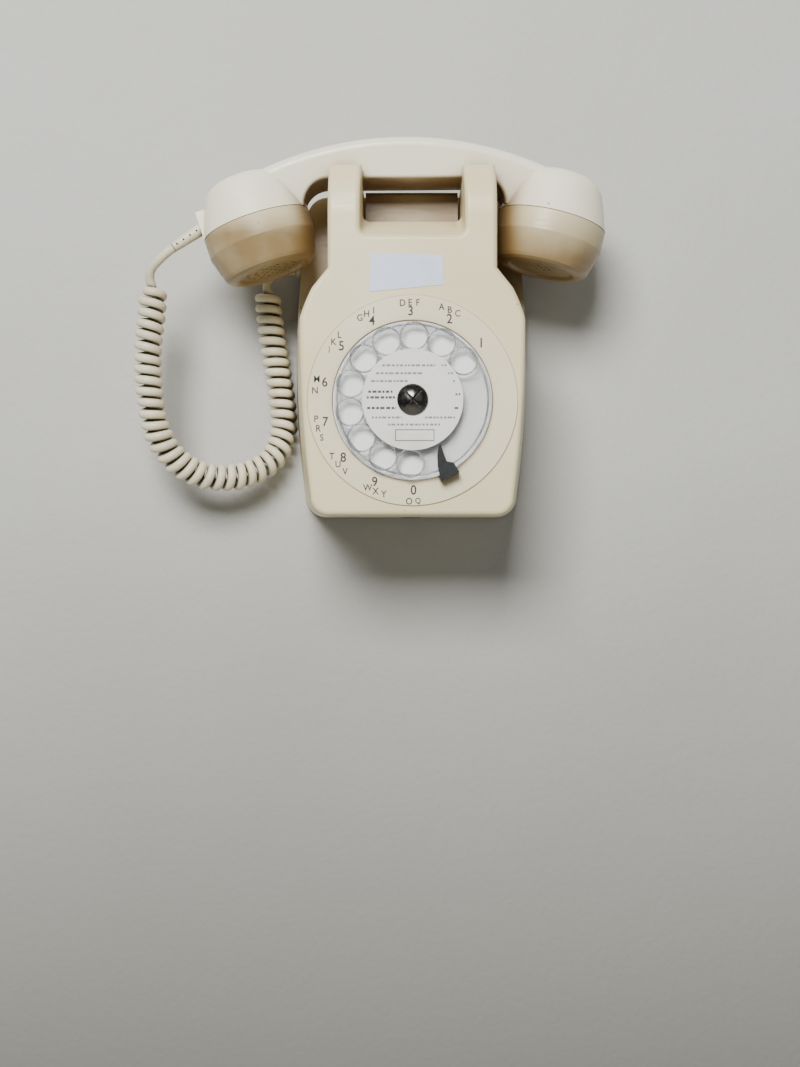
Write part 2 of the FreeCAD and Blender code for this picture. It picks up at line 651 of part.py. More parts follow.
def cup_solid(inset):
    r, h = CUP_R - inset, CUP_H - inset
    low = -2 if inset else 0
    p = [Vector(0, 0, low), Vector(r, 0, low), Vector(r, 0, 0), Vector(r - 2.6, 0, h * 0.33),
         Vector(r - 5.8, 0, h * 0.69), Vector(r - 9.4, 0, h * 0.88), Vector(r - 17.7, 0, h), Vector(0, 0, h)]
    edges = [Part.LineSegment(p[0], p[1]).toShape(), arc(p[2], p[3], p[4]), arc(p[4], p[5], p[6]),
             Part.LineSegment(p[6], p[7]).toShape(), Part.LineSegment(p[7], p[0]).toShape()]
    if inset:
        edges.insert(1, Part.LineSegment(p[1], p[2]).toShape())
    return Part.Face(Part.Wire(edges)).revolve(Vector(0, 0, 0), Vector(0, 0, 1), 360)


def handle_solid(inset):
    """Bridge of the handset: arched top, flat underside with arched ends, sides that slope."""
    under, top = HANDLE_UNDER + inset, HANDLE_TOP - inset
    end = CUP_SPACING + 5
    drop = HANDLE_ARC_R - math.sqrt(HANDLE_ARC_R ** 2 - end ** 2)
    arch_r = 13.0 - inset * 0.5
    inner = CUP_SPACING - 26.3 + inset
    flat = inner - arch_r
    k = arch_r * math.sqrt(0.5)

    def p(x, z):
        return Vector(x, -40, z)

    edges = [arc(p(-end, top - drop), p(0, top), p(end, top - drop)),
             Part.LineSegment(p(end, top - drop), p(end - 6, 2)).toShape(),
             Part.LineSegment(p(end - 6, 2), p(inner, under - arch_r)).toShape(),
             arc(p(inner, under - arch_r), p(flat + k, under - arch_r + k), p(flat, under)),
             Part.LineSegment(p(flat, under), p(-flat, under)).toShape(),
             arc(p(-flat, under), p(-flat - k, under - arch_r + k), p(-inner, under - arch_r)),
             Part.LineSegment(p(-inner, under - arch_r), p(-end + 6, 2)).toShape(),
             Part.LineSegment(p(-end + 6, 2), p(-end, top - drop)).toShape()]
    slab = Part.Face(Part.Wire(edges)).extrude(Vector(0, 80, 0))
    slope = (HANDLE_HALF_HIGH - HANDLE_HALF_LOW) / (HANDLE_TOP - HANDLE_UNDER)

    def half(z):
        return HANDLE_HALF_LOW - inset + slope * (z - HANDLE_UNDER)

    low_z, high_z = -10, HANDLE_TOP + 10
    section = [(-half(low_z), low_z), (half(low_z), low_z), (half(high_z), high_z), (-half(high_z), high_z)]
    ring = [Vector(-150, y, z) for y, z in section]
    prism = Part.Face(Part.makePolygon(ring + ring[:1])).extrude(Vector(300, 0, 0))
    solid = slab.common(prism).Solids[0]
    if inset:
        return solid
    long_edges = [e for e in solid.Edges if e.BoundBox.XLength > 2 * flat - 1]
    top_edges = [e for e in long_edges if e.BoundBox.ZMax > HANDLE_TOP - 1]
    solid = solid.makeFillet(HANDLE_TOP_ROUND, top_edges)
    low_edges = [e for e in solid.Edges if abs(e.BoundBox.XLength - 2 * flat) < 0.5
                 and e.BoundBox.ZMax < HANDLE_UNDER + 0.5]
    return solid.makeFillet(HANDLE_LOW_ROUND, low_edges)


def make_handset_shell():
    outer = fused([cup_piece(cup_solid(0), -1), cup_piece(cup_solid(0), 1), handle_solid(0)])
    hollow = [cup_piece(cup_solid(HANDSET_WALL), -1), cup_piece(cup_solid(HANDSET_WALL), 1),
              handle_solid(HANDSET_WALL)]
    below = [cup_piece(Part.makeBox(120, 120, 60, Vector(-60, -60, -60)), s) for s in (-1, 1)]
    pad = cup_piece(Part.makeBox(5, 9, 15, Vector(-CUP_R + 0.2, -4.5, 0.5)), -1)
    outer = outer.fuse(pad)
    gland_way = Part.makeCylinder(GLAND_BIG_R + FIT, 20, GLAND_BASE - GLAND_DIR * 8, GLAND_DIR)
    return outer.cut(hollow + below + [gland_way]).removeSplitter()


def make_handset_gland():
    """Tapered strain relief with rows of relief holes, and its collar inside the cup."""
    cone = Part.makeCone(GLAND_BIG_R, GLAND_SMALL_R, GLAND_LENGTH + 2, GLAND_BASE - GLAND_DIR * 2, GLAND_DIR)
    collar = Part.makeCylinder(GLAND_BIG_R + 0.7, 1.4, GLAND_BASE - GLAND_DIR * 8.0, GLAND_DIR)
    neck = Part.makeCylinder(GLAND_BIG_R, 6.5, GLAND_BASE - GLAND_DIR * 7.5, GLAND_DIR)
    side = GLAND_DIR.cross(Vector(0, 1, 0))
    holes = []
    for i in range(4):
        spot = GLAND_BASE + GLAND_DIR * (3.0 + 4.2 * i)
        holes.append(Part.makeCylinder(0.55, 12, spot - side * 6, side))
        holes.append(Part.makeCylinder(0.55, 12, spot + GLAND_DIR * 2.1 - Vector(0, 6, 0), Vector(0, 1, 0)))
    return fused([cone, collar, neck]).cut(holes)


def make_cap(rings):
    """Screwed cap with a dished face; rings is a list of (count, radius) of sound holes."""
    face, thread_r = -CAP_FACE, CUP_R - HANDSET_WALL - 0.8
    profile = [(0, face + 2.2), (16.8, face + 1.8), (18.0, face + 0.3), (19.2, face), (21.0, face + 0.1),
               (23.0, face + 0.9), (24.5, face + 2.1), (25.3, face + 3.7), (CUP_R - 0.3, -CAP_BAND - 0.5),
               (CUP_R, -CAP_BAND + 0.5), (CUP_R, -0.6), (CUP_R - 0.3, -0.25), (thread_r, -0.25),
               (thread_r, THREAD_H), (thread_r - 2.0, THREAD_H), (thread_r - 2.0, -CAP_BAND),
               (20.5, face + 4.4), (0, face + 4.4)]
    cap = revolve_profile(profile)
    holes = []
    for count, radius in rings:
        for i in range(count):
            x, y = polar(radius, 360 / count * i)
            holes.append(Part.makeCylinder(SOUND_HOLE_R, 8, Vector(x, y, face - 1), Vector(0, 0, 1)))
    return cap.cut(holes)


def make_capsule(radius, depth):
    """Telephone capsule: a stepped can with a rolled rim."""
    top = -CAP_FACE + 4.6
    can = [(0, top), (radius, top), (radius, top + 2.0), (radius - 1.5, top + 2.6), (radius - 1.5, top + depth - 2),
           (radius - 4, top + depth), (8.0, top + depth), (8.0, top + depth + 1.2), (0, top + depth + 1.2)]
    return revolve_profile(can)


def make_capsule_cup():
    """Insulating cup behind the microphone, with its two contact springs."""
    top = -CAP_FACE + 4.6
    base = top + 15.6
    cup = [(0, base), (CUP_R - 5.4, base), (CUP_R - 5.4, base + 2.0), (0, base + 2.0)]
    disc = revolve_profile(cup)
    springs = [Part.makeBox(12, 3, 0.5, Vector(-6, s * 5 - 1.5, base - 0.9)) for s in (-1, 1)]
    feet = [Part.makeBox(1.5, 3, 1.2, Vector(-6, s * 5 - 1.5, base - 0.9)) for s in (-1, 1)]
    return fused([disc] + springs + feet)


def make_handset_wires():
    """Wire loom from the microphone cup through the handle to the receiver."""
    x = CUP_SPACING - 17
    z = (HANDLE_UNDER + HANDLE_TOP) / 2 - 1
    p = [Vector(-x, 0, z - 12), Vector(-x + 14, 0, z - 1), Vector(-20, 0, z + 1), Vector(20, 0, z + 1),
         Vector(x - 14, 0, z - 1), Vector(x, 0, z - 12)]
    return tube_along(p, 1.2)


def handset_placement():
    turn = Rotation(Vector(0, 0, 1), HANDSET_YAW).multiply(Rotation(Vector(0, 1, 0), HANDSET_ROLL))
    return Placement(at(HANDSET_X, HANDSET_D, SEAT_Z + HANDSET_GAP - HANDLE_UNDER), turn)


def place_handset(shape):
    whole = shape.copy()
    whole.Placement = handset_placement().multiply(whole.Placement)
    return whole


# ---- cord ------------------------------------------------------------------------------------
def rounded_path(points):
    """Straight runs joined by the largest tangent arcs that two runs allow; prints the radii."""
    edges, start = [], points[0]
    radii = []
    for before, corner, after in zip(points, points[1:], points[2:]):
        u, v = (before - corner), (after - corner)
        run = min(u.Length, v.Length)
        u.normalize()
        v.normalize()
        bend = math.pi - u.getAngle(v)
        radius = 0.45 * run / math.tan(bend / 2)
        reach = 0.45 * run
        a, b = corner + u * reach, corner + v * reach
        towards = u + v
        towards.normalize()
        middle = corner + towards * (radius / math.cos(bend / 2) - radius)
        edges.append(Part.LineSegment(start, a).toShape())
        edges.append(arc(a, middle, b))
        radii.append(radius)
        start = b
    edges.append(Part.LineSegment(start, points[-1]).toShape())
    return Part.Wire(edges), radii


def tube_along(points, radius):
    path, radii = rounded_path(points)
    tangent = points[1] - points[0]
    section = Part.Wire(Part.makeCircle(radius, points[0], tangent))
    solid = path.makePipeShell([section], True, False)
    exact = math.pi * radius * radius * path.Length
    print("tube length %.1f, volume share %.4f, radii %s"
          % (path.Length, solid.Volume / exact, [round(r, 1) for r in radii]))
    return solid


# route of the coiled stretch, handset side first, as (x, d, z)
COIL_ROUTE = [(-140.4, 44.0, 64.6), (-141.5, 43.6, 49.0), (-143.6, 43.8, 33.0), (-143.3, 44.2, 17.0),
              (-142.0, 44.6, 1.5), (-139.0, 46.0, -14.0), (-131.0, 49.4, -27.5), (-118.5, 54.2, -36.0),
              (-104.0, 59.8, -38.0), (-89.0, 65.6, -35.0), (-76.6, 70.6, -26.0), (-71.6, 74.0, -11.0),
              (-72.8, 75.4, 5.5), (-75.3, 75.6, 21.5), (-78.2, 75.5, 37.5), (-80.2, 75.6, 53.0),
              (-81.6, 75.6, 67.5)]
HANDSET_LEAD = [(-136.3, 37.6, 79.4), (-141.2, 39.8, 75.2), (-142.6, 42.6, 69.6)]
CASE_LEAD = [(-81.9, 75.7, 72.4), (-80.2, 76.4, 77.4), (-76.2, 77.2, 80.6), (-70.8, 77.4, 81.0)]


def route(points):
    return [at(*p) for p in points]


def make_cords():
    coil = route(COIL_ROUTE)
    tip = handset_placement().multVec(GLAND_BASE + GLAND_DIR * GLAND_LENGTH)
    towards = handset_placement().Rotation.multVec(GLAND_DIR)
    first = tip + towards * 4.5
    lead = [tip, first] + route(HANDSET_LEAD) + [coil[0]]
    gland_face = at(-GLAND_OUT_X, GLAND_AT_D, GLAND_AT_Z)
    entry = [coil[-1]] + route(CASE_LEAD) + [gland_face]
    coiled = tube_along(coil, COIL_OUTER_D / 2)
    add("cord_lead_handset", tube_along(lead, CORD_D / 2).cut(coiled))
    add("cord_coil", coiled)
    add("cord_lead_case", tube_along(entry, CORD_D / 2).cut(coiled))


def make_case_gland():
    face_x = -GLAND_OUT_X
    body = Part.makeCylinder(GLAND_R, 10, at(face_x, GLAND_AT_D, GLAND_AT_Z), Vector(1, 0, 0))
    lip = Part.makeCylinder(GLAND_R + 0.8, 1.6, at(face_x + 6.8, GLAND_AT_D, GLAND_AT_Z), Vector(1, 0, 0))
    return fused([body, lip])


# ---- ringer, board and switch ------------------------------------------------------------------
def make_gong():
    """Domed gong with a central hole, in its own frame with the mouth at z 0, facing the wall."""
    r, h, t = GONG_R, GONG_H, GONG_T
    k = 0.72
    outer = [Vector(r, 0, 0), Vector(r * 0.93, 0, h * k), Vector(r * 0.55, 0, h)]
    inner = [Vector(r * 0.55, 0, h - t), Vector(r * 0.93 - t, 0, (h - t) * k), Vector(r - t, 0, 0)]
    edges = [arc(*outer), Part.LineSegment(outer[2], Vector(2.1, 0, h)).toShape(),
             Part.LineSegment(Vector(2.1, 0, h), Vector(2.1, 0, h - t)).toShape(),
             Part.LineSegment(Vector(2.1, 0, h - t), inner[0]).toShape(), arc(*inner),
             Part.LineSegment(inner[2], outer[0]).toShape()]
    return Part.Face(Part.Wire(edges)).revolve(Vector(0, 0, 0), Vector(0, 0, 1), 360)


def place_gong(s):
    gong = make_gong()
    gong.Placement = Placement(at(s * GONG_X, back(GONG_STAND), GONG_Z), Rotation(Vector(1, 0, 0), 90))
    return gong


def make_ringer_frame():
    """Steel plate with two gong posts, the yoke over the coils and the clapper's pivot pin."""
    top = CLAPPER_Z + COIL_TOP
    plate = box(-34, 34, back(1.6), back(0), GONG_Z - 9, top + 1.6)
    posts = [rod(s * GONG_X, GONG_Z, 3.5, back(GONG_STAND + GONG_H - GONG_T), back(1)) for s in (-1, 1)]
    yoke = box(-24, 24, back(COIL_D + 8), back(1), top, top + 1.6)
    pin = rod(0, CLAPPER_Z, PIVOT_R, back(CLAPPER_D + 5), back(1))
    holes = [rod(s * GONG_X, GONG_Z, 1.5, back(40), back(4)) for s in (-1, 1)]
    return fused([plate, yoke, pin] + posts).cut(holes)


def make_clapper():
    """Armature bar on its pivot, with the rod down to the ball between the gongs."""
    hub = rod(0, CLAPPER_Z, 3.0, back(CLAPPER_D + 4), back(CLAPPER_D - 4))
    bar = box(-19, 19, back(COIL_D + 3), back(COIL_D - 3), CLAPPER_Z - 1, CLAPPER_Z + 1)
    stem = Part.makeCylinder(0.8, CLAPPER_Z - GONG_Z - 2, at(0, back(CLAPPER_D), GONG_Z), Vector(0, 0, 1))
    ball = Part.makeSphere(BALL_R, at(0, back(CLAPPER_D), GONG_Z))
    bore = rod(0, CLAPPER_Z, PIVOT_R + RUN, back(40), back(0))
    return fused([hub, bar, stem, ball]).cut(bore)


def make_ringer_coils():
    """Two wound bobbins under the yoke, their poles facing the armature, as one group of solids."""
    solids = []
    low, top = CLAPPER_Z + 3.2, CLAPPER_Z + COIL_TOP
    for s in (-1, 1):
        def disc(r, z0, z1):
            return Part.makeCylinder(r, z1 - z0, at(s * 15, back(COIL_D), z0), Vector(0, 0, 1))
        solids.append(fused([disc(2.6, low, top), disc(6.4, low + 1.2, top - 0.2), disc(7.4, low + 0.8, low + 2.2),
                             disc(7.4, top - 1.4, top)]))
    return Part.makeCompound(solids)


def make_screws(places, r, length, head_r, head_h, slot=True):
    """A group of identical slotted screws along the depth; places are (x, z, head depth)."""
    solids = []
    for x, z, d in places:
        head = rod(x, z, head_r, d - head_h, d)
        screw = fused([head, rod(x, z, r, d - 0.5, d + length)])
        if slot:
            screw = screw.cut(box(x - head_r - 1, x + head_r + 1, d - head_h - 1, d - head_h + 0.7,
                                  z - 0.4, z + 0.4))
        solids.append(screw)
    return Part.makeCompound(solids)


def board_screw_places():
    return [(x, z) for x in (-BOARD_HALF + 5, BOARD_HALF - 5) for z in (BOARD_LOW + 5, BOARD_HIGH - 5)]


def make_board():
    plate = box(-BOARD_HALF, BOARD_HALF, back(BOARD_H + 1.6), back(BOARD_H), BOARD_LOW, BOARD_HIGH)
    return plate.cut([rod(x, z, 1.7, back(12), back(0)) for x, z in board_screw_places()])


def make_induction_coil():
    """Laminated core with its wound bobbin, standing on the board."""
    x, z, d1 = 18, 56, back(BOARD_H + 1.6)
    core = box(x - 12, x + 12, d1 - 15, d1, z - 10, z + 10)
    windows = [box(x + s * 6 - 2.6, x + s * 6 + 2.6, d1 - 20, d1 + 5, z - 6, z + 6) for s in (-1, 1)]
    winding = box(x - 8.0, x + 8.0, d1 - 17, d1 - 0.4, z - 5.6, z + 5.6)
    return fused([core.cut(windows), winding])


def make_capacitor():
    d1 = back(BOARD_H + 1.6)
    can = box(-30, -6, d1 - 14, d1, 44, 68)
    edges = [e for e in can.Edges if abs(e.BoundBox.YLength - 14) < 0.01]
    can = can.makeFillet(3.0, edges)
    tags = [box(-25 + 11 * i, -22 + 11 * i, d1 - 3, d1 - 2.2, 68, 72) for i in range(2)]
    return fused([can] + tags)


def make_terminals():
    """Terminal strip along the bottom of the board, with walls between its screws."""
    d1 = back(BOARD_H + 1.6)
    strip = box(-28, 28, d1 - 6, d1, BOARD_LOW + 1, BOARD_LOW + 9)
    walls = [box(-28 + 8 * i - 0.6, -28 + 8 * i + 0.6, d1 - 9, d1 - 5, BOARD_LOW + 1, BOARD_LOW + 9)
             for i in range(1, 7)]
    ends = [box(-28, -26.8, d1 - 9, d1 - 5, BOARD_LOW + 1, BOARD_LOW + 9),
            box(26.8, 28, d1 - 9, d1 - 5, BOARD_LOW + 1, BOARD_LOW + 9)]
    holes = [rod(x, BOARD_LOW + 5, 1.25, d1 - 10, d1 - 1) for x in terminal_xs()]
    return fused([strip] + walls + ends).cut(holes)


def terminal_xs():
    return [-24 + 8 * i for i in range(7)]


def make_base_plate():
    inset = WALL + 0.6
    outline = case_outline(CASE_DEPTH, (BACK_BOTTOM_HALF, BACK_MID_HALF, BACK_TOP_HALF), -BODY_BELOW_DIAL,
                           BACK_ABOVE_DIAL, BACK_CORNER, BACK_CORNER, inset)
    plate = Part.Face(outline).extrude(Vector(0, -BASE_T, 0))
    z0 = -DIAL_Z
    holes = [rod(sx * WALL_HOLES_X / 2, z0 + sz * WALL_HOLES_Z / 2, WALL_HOLE_R, back(2), CASE_DEPTH + 1)
             for sx in (-1, 1) for sz in (-1, 1)]
    inlet = box(-INLET_R - 1.8, INLET_R + 1.8, back(1), CASE_DEPTH + 1, -BODY_BELOW_DIAL, -BODY_BELOW_DIAL + 12)
    spacers = [tube(x, z, 3.4, 1.25, back(BOARD_H), back(-0.5)) for x, z in board_screw_places()]
    lugs = []
    for s in (-1, 1):
        x = s * COVER_SCREW_X
        lug = box(x - 6, x + 6, back(COVER_SCREW_H + 5), back(-1), -BODY_BELOW_DIAL + WALL + 0.4,
                  -BODY_BELOW_DIAL + WALL + 4.4)
        bore = Part.makeCylinder(COVER_SCREW_R - 0.35, 12, at(x, back(COVER_SCREW_H), -BODY_BELOW_DIAL),
                                 Vector(0, 0, 1))
        lugs.append(lug.cut(bore))
    plate = plate.cut(holes + [inlet]).fuse(spacers + lugs).removeSplitter()
    return plate.cut([rod(x, z, 1.25, back(BOARD_H + 1), back(-2)) for x, z in board_screw_places()])


def make_cover_screws():
    """Two slotted screws that hold the cover, from below, as one group."""
    solids = []
    for s in (-1, 1):
        x, d, z = s * COVER_SCREW_X, back(COVER_SCREW_H), -BODY_BELOW_DIAL
        head = Part.makeCylinder(COVER_HEAD_R, COVER_HEAD_H - 0.1, at(x, d, z), Vector(0, 0, 1))
        shank = Part.makeCylinder(COVER_SCREW_R - 0.4, 9, at(x, d, z + 0.4), Vector(0, 0, 1))
        slot = box(x - 5, x + 5, d - 0.4, d + 0.4, z - 1, z + 0.6)
        solids.append(fused([head, shank]).cut(slot))
    return Part.makeCompound(solids)


def make_inlet_grommet():
    """Grommet in the bottom wall where the exchange line comes in."""
    d, z = back(INLET_R + 3), -BODY_BELOW_DIAL
    body = Part.makeCylinder(INLET_R, WALL + 1.6, at(0, d, z - GROMMET_PROUD), Vector(0, 0, 1))
    lips = [Part.makeCylinder(GROMMET_LIP_R, GROMMET_LIP_H, at(0, d, z + dz), Vector(0, 0, 1))
            for dz in (-GROMMET_PROUD, WALL + 0.2)]
    bore = Part.makeCylinder(2.2, 12, at(0, d, z - 5), Vector(0, 0, 1))
    return fused([body] + lips).cut(bore)


def make_hook_contacts():
    """Hook switch: a clamped stack of contact blades behind the lever's finger."""
    z = LEVER_AXLE_Z - 24
    clamp = box(-7, 7, back(6), back(0), z - 7, z)
    blades = [box(-5 + 4 * i, -3 + 4 * i, back(3.2 - 1.1 * j), back(2.8 - 1.1 * j), z - 1, z + 16 - 2 * j)
              for i in range(3) for j in range(3)]
    return fused([clamp] + blades)


def make_hook_spring():
    """Torsion spring on the axle outside the right ear: coil body with one leg on the base plate."""
    x = LEVER_ARM_X + LEVER_ARM_W / 2 + EAR_GAP + EAR_T + 0.3
    coil = Part.makeCylinder(2.8, 4, at(x, LEVER_AXLE_D, LEVER_AXLE_Z), Vector(1, 0, 0))
    bore = Part.makeCylinder(LEVER_AXLE_R + 0.3, 8, at(x - 1, LEVER_AXLE_D, LEVER_AXLE_Z), Vector(1, 0, 0))
    leg = box(x, x + 0.8, LEVER_AXLE_D, back(0.1), LEVER_AXLE_Z - 2.7, LEVER_AXLE_Z - 1.9)
    return fused([coil, leg]).cut(bore)


def make_label():
    """Paper label stuck on the neck below the window."""
    d = -0.25
    ring = [(-21.8, 55.8), (16.0, 59.4), (15.4, 74.6), (-21.4, 75.4)]
    return extrude_xz(ring, d, -0.02)


# ---- assembly ----------------------------------------------------------------------------------
def build():
    add("base_plate", make_base_plate())
    add("cover", make_cover())
    add("cover_screws", make_cover_screws())
    add("line_inlet_grommet", make_inlet_grommet())
    add("name_label", make_label())
    add("number_ring", make_ring())
    add("dial_backing", tube(0, 0, RING_BORE_R - FIT, 7.6, 0.2, 1.6))
    add("dial_frame", make_dial_frame())
    add("dial_rear_plate", make_dial_rear())
    add("governor_cup", make_governor_cup())
    add("spring_barrel", make_spring_barrel())
    add("return_spring", make_return_spring())
    add("impulse_contacts", make_dial_contacts())
    add("finger_stop", make_stop())
    lug_places = [(*polar(DIAL_LUG_R, a), DIAL_FRAME_D + DIAL_PLATE_T + 0.02) for a in DIAL_LUG_DEGS]
    add("dial_screws", dial_screw_group(lug_places))
    rear_places = [(*polar(DIAL_PILLAR_R, a), 0) for a in DIAL_PILLAR_DEGS]
    add("dial_nuts", dial_nut_group(rear_places))
    add("finger_wheel", make_wheel())
    card_front = WHEEL_BACK_D - WHEEL_T - CARD_T
    add("dial_card", tube(0, 0, CARD_R, SHAFT_R - 1.0, card_front, WHEEL_BACK_D - WHEEL_T))
    add("dial_cap_screw", make_dial_cap())
    add("dial_shaft_gear", make_shaft())
    add("impulse_shaft", make_impulse())
    add("governor_shaft", make_governor())
    add("hook_lever", make_lever())
    add("hook_bracket", make_hook_bracket())
    half = LEVER_ARM_X + LEVER_ARM_W / 2 + EAR_GAP + EAR_T + 5.5
    add("hook_axle", Part.makeCylinder(LEVER_AXLE_R, 2 * half, at(-half, LEVER_AXLE_D, LEVER_AXLE_Z),
                                       Vector(1, 0, 0)))
    add("hook_spring", make_hook_spring())
    add("hook_contacts", make_hook_contacts())
    add("ringer_frame", make_ringer_frame())
    add("gong_left", place_gong(-1))
    add("gong_right", place_gong(1))
    gong_front = back(GONG_STAND + GONG_H)
    add("gong_screws", make_screws([(s * GONG_X, GONG_Z, gong_front - 0.02) for s in (-1, 1)], 1.5, 9, 3.6, 1.8))
    add("ringer_coils", make_ringer_coils())
    add("clapper", make_clapper())
    add("circuit_board", make_board())
    add("board_screws", make_screws([(x, z, back(BOARD_H + 1.6) - 0.02) for x, z in board_screw_places()],
                                    1.2, 9, 2.8, 1.6))
    add("induction_coil", make_induction_coil())
    add("capacitor", make_capacitor())
    add("terminal_strip", make_terminals())
    add("terminal_screws", make_screws([(x, BOARD_LOW + 5, back(BOARD_H + 1.6) - 6.02) for x in terminal_xs()],
                                       1.2, 4.5, 2.4, 1.4))
    add("case_cord_gland", make_case_gland())
    handset = {
        "handset_shell": make_handset_shell(),
        "mouthpiece_cap": cup_piece(make_cap(MIC_RINGS), -1),
        "earpiece_cap": cup_piece(make_cap(EAR_RINGS), 1),
        "microphone_capsule": cup_piece(make_capsule(CAPSULE_R, 13.0), -1),
        "microphone_cup": cup_piece(make_capsule_cup(), -1),
        "receiver_capsule": cup_piece(make_capsule(CAPSULE_R, 16.0), 1),
        "handset_cord_gland": make_handset_gland(),
        "handset_wires": make_handset_wires(),
    }
    for name, shape in handset.items():
        add(name, place_handset(shape))
    make_cords()


def dial_screw_group(places):
    """Screws from behind through the frame's lugs into the cover's rim."""
    solids = []
    for x, z, d in places:
        head = rod(x, z, 2.8, d, d + 1.6)
        solids.append(fused([head, rod(x, z, DIAL_SCREW_R, d - 2.0, d + 0.5)]))
    return Part.makeCompound(solids)


def dial_nut_group(places):
    solids = []
    for x, z, _ in places:
        d = DIAL_REAR_D + DIAL_PLATE_T + 0.02
        stud = rod(x, z, 1.5, DIAL_REAR_D, d + 3.4)
        ring = [(x + 2.9 * math.cos(math.radians(60 * i)), z + 2.9 * math.sin(math.radians(60 * i)))
                for i in range(6)]
        solids.append(fused([extrude_xz(ring, d, d + 2.2), stud]))
    return Part.makeCompound(solids)


def main():
    os.makedirs("parts", exist_ok=True)
    build()
    for name, shape in parts.items():
        if not shape.isValid() or not shape.Solids or shape.Volume <= 0:
            raise ValueError("bad solid: %s" % name)
        shape.exportStep(os.path.join("parts", name + ".step"))
        print("%-22s solids %d  volume %.0f" % (name, len(shape.Solids), shape.Volume))


main()
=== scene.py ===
"""Looks of a wall telephone with a rotary dial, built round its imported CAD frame, in metres.

Row frame: +X to the right as seen from the front, +Y into the wall, +Z up. A place on the
telephone is written (x, depth, height): the depth is behind the case's front face, the height is
above the dial's centre, and at() turns it into the row frame.
"""
import json
import math
import random

import bpy
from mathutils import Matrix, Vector


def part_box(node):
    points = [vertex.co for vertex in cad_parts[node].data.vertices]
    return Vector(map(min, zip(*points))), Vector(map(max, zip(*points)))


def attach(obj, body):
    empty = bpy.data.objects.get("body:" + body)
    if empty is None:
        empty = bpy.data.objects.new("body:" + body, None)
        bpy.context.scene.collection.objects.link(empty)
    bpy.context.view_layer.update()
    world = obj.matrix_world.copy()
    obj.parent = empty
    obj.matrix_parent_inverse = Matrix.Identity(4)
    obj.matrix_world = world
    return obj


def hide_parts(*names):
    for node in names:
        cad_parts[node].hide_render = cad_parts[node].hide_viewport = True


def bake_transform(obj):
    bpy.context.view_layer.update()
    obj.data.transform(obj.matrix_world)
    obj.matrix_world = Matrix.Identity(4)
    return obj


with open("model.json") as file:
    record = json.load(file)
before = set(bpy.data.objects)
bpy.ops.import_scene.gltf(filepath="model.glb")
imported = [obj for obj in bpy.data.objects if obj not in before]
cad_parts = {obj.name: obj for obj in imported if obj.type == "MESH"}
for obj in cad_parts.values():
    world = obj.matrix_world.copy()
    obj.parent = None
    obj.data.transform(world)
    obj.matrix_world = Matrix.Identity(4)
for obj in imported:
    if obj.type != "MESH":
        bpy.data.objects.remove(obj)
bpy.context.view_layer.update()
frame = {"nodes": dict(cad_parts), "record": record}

MM = 0.001
SEED = 11
RING_LOW, RING_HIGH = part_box("number_ring")
FRONT_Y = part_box("cover")[0].y
DIAL_X = (RING_LOW.x + RING_HIGH.x) / 2
DIAL_Z = (RING_LOW.z + RING_HIGH.z) / 2


def at(x, depth, height):
    """A place on the telephone, in the row frame."""
    return Vector((DIAL_X + x, FRONT_Y + depth, DIAL_Z + height))


# ---- camera ------------------------------------------------------------------------------------
SENSOR = 36.0
FOCAL_PER_HEIGHT = 1.312             # focal length over the height of the picture
CAMERA_PLACE = (-0.0064, -0.7175, -0.0682)


def make_camera():
    data = bpy.data.cameras.new("camera")
    data.sensor_width = SENSOR
    data.lens = SENSOR * FOCAL_PER_HEIGHT
    camera = bpy.data.objects.new("camera", data)
    camera.location = at(*CAMERA_PLACE)
    camera.rotation_euler = (math.radians(90), 0, 0)
    bpy.context.scene.collection.objects.link(camera)
    bpy.context.scene.camera = camera


make_camera()


# ---- materials ---------------------------------------------------------------------------------
def rgb(red, green, blue):
    """Linear colour from display values of 0 to 255."""
    def linear(v):
        v /= 255
        return v / 12.92 if v <= 0.04045 else ((v + 0.055) / 1.055) ** 2.4
    return linear(red), linear(green), linear(blue), 1.0


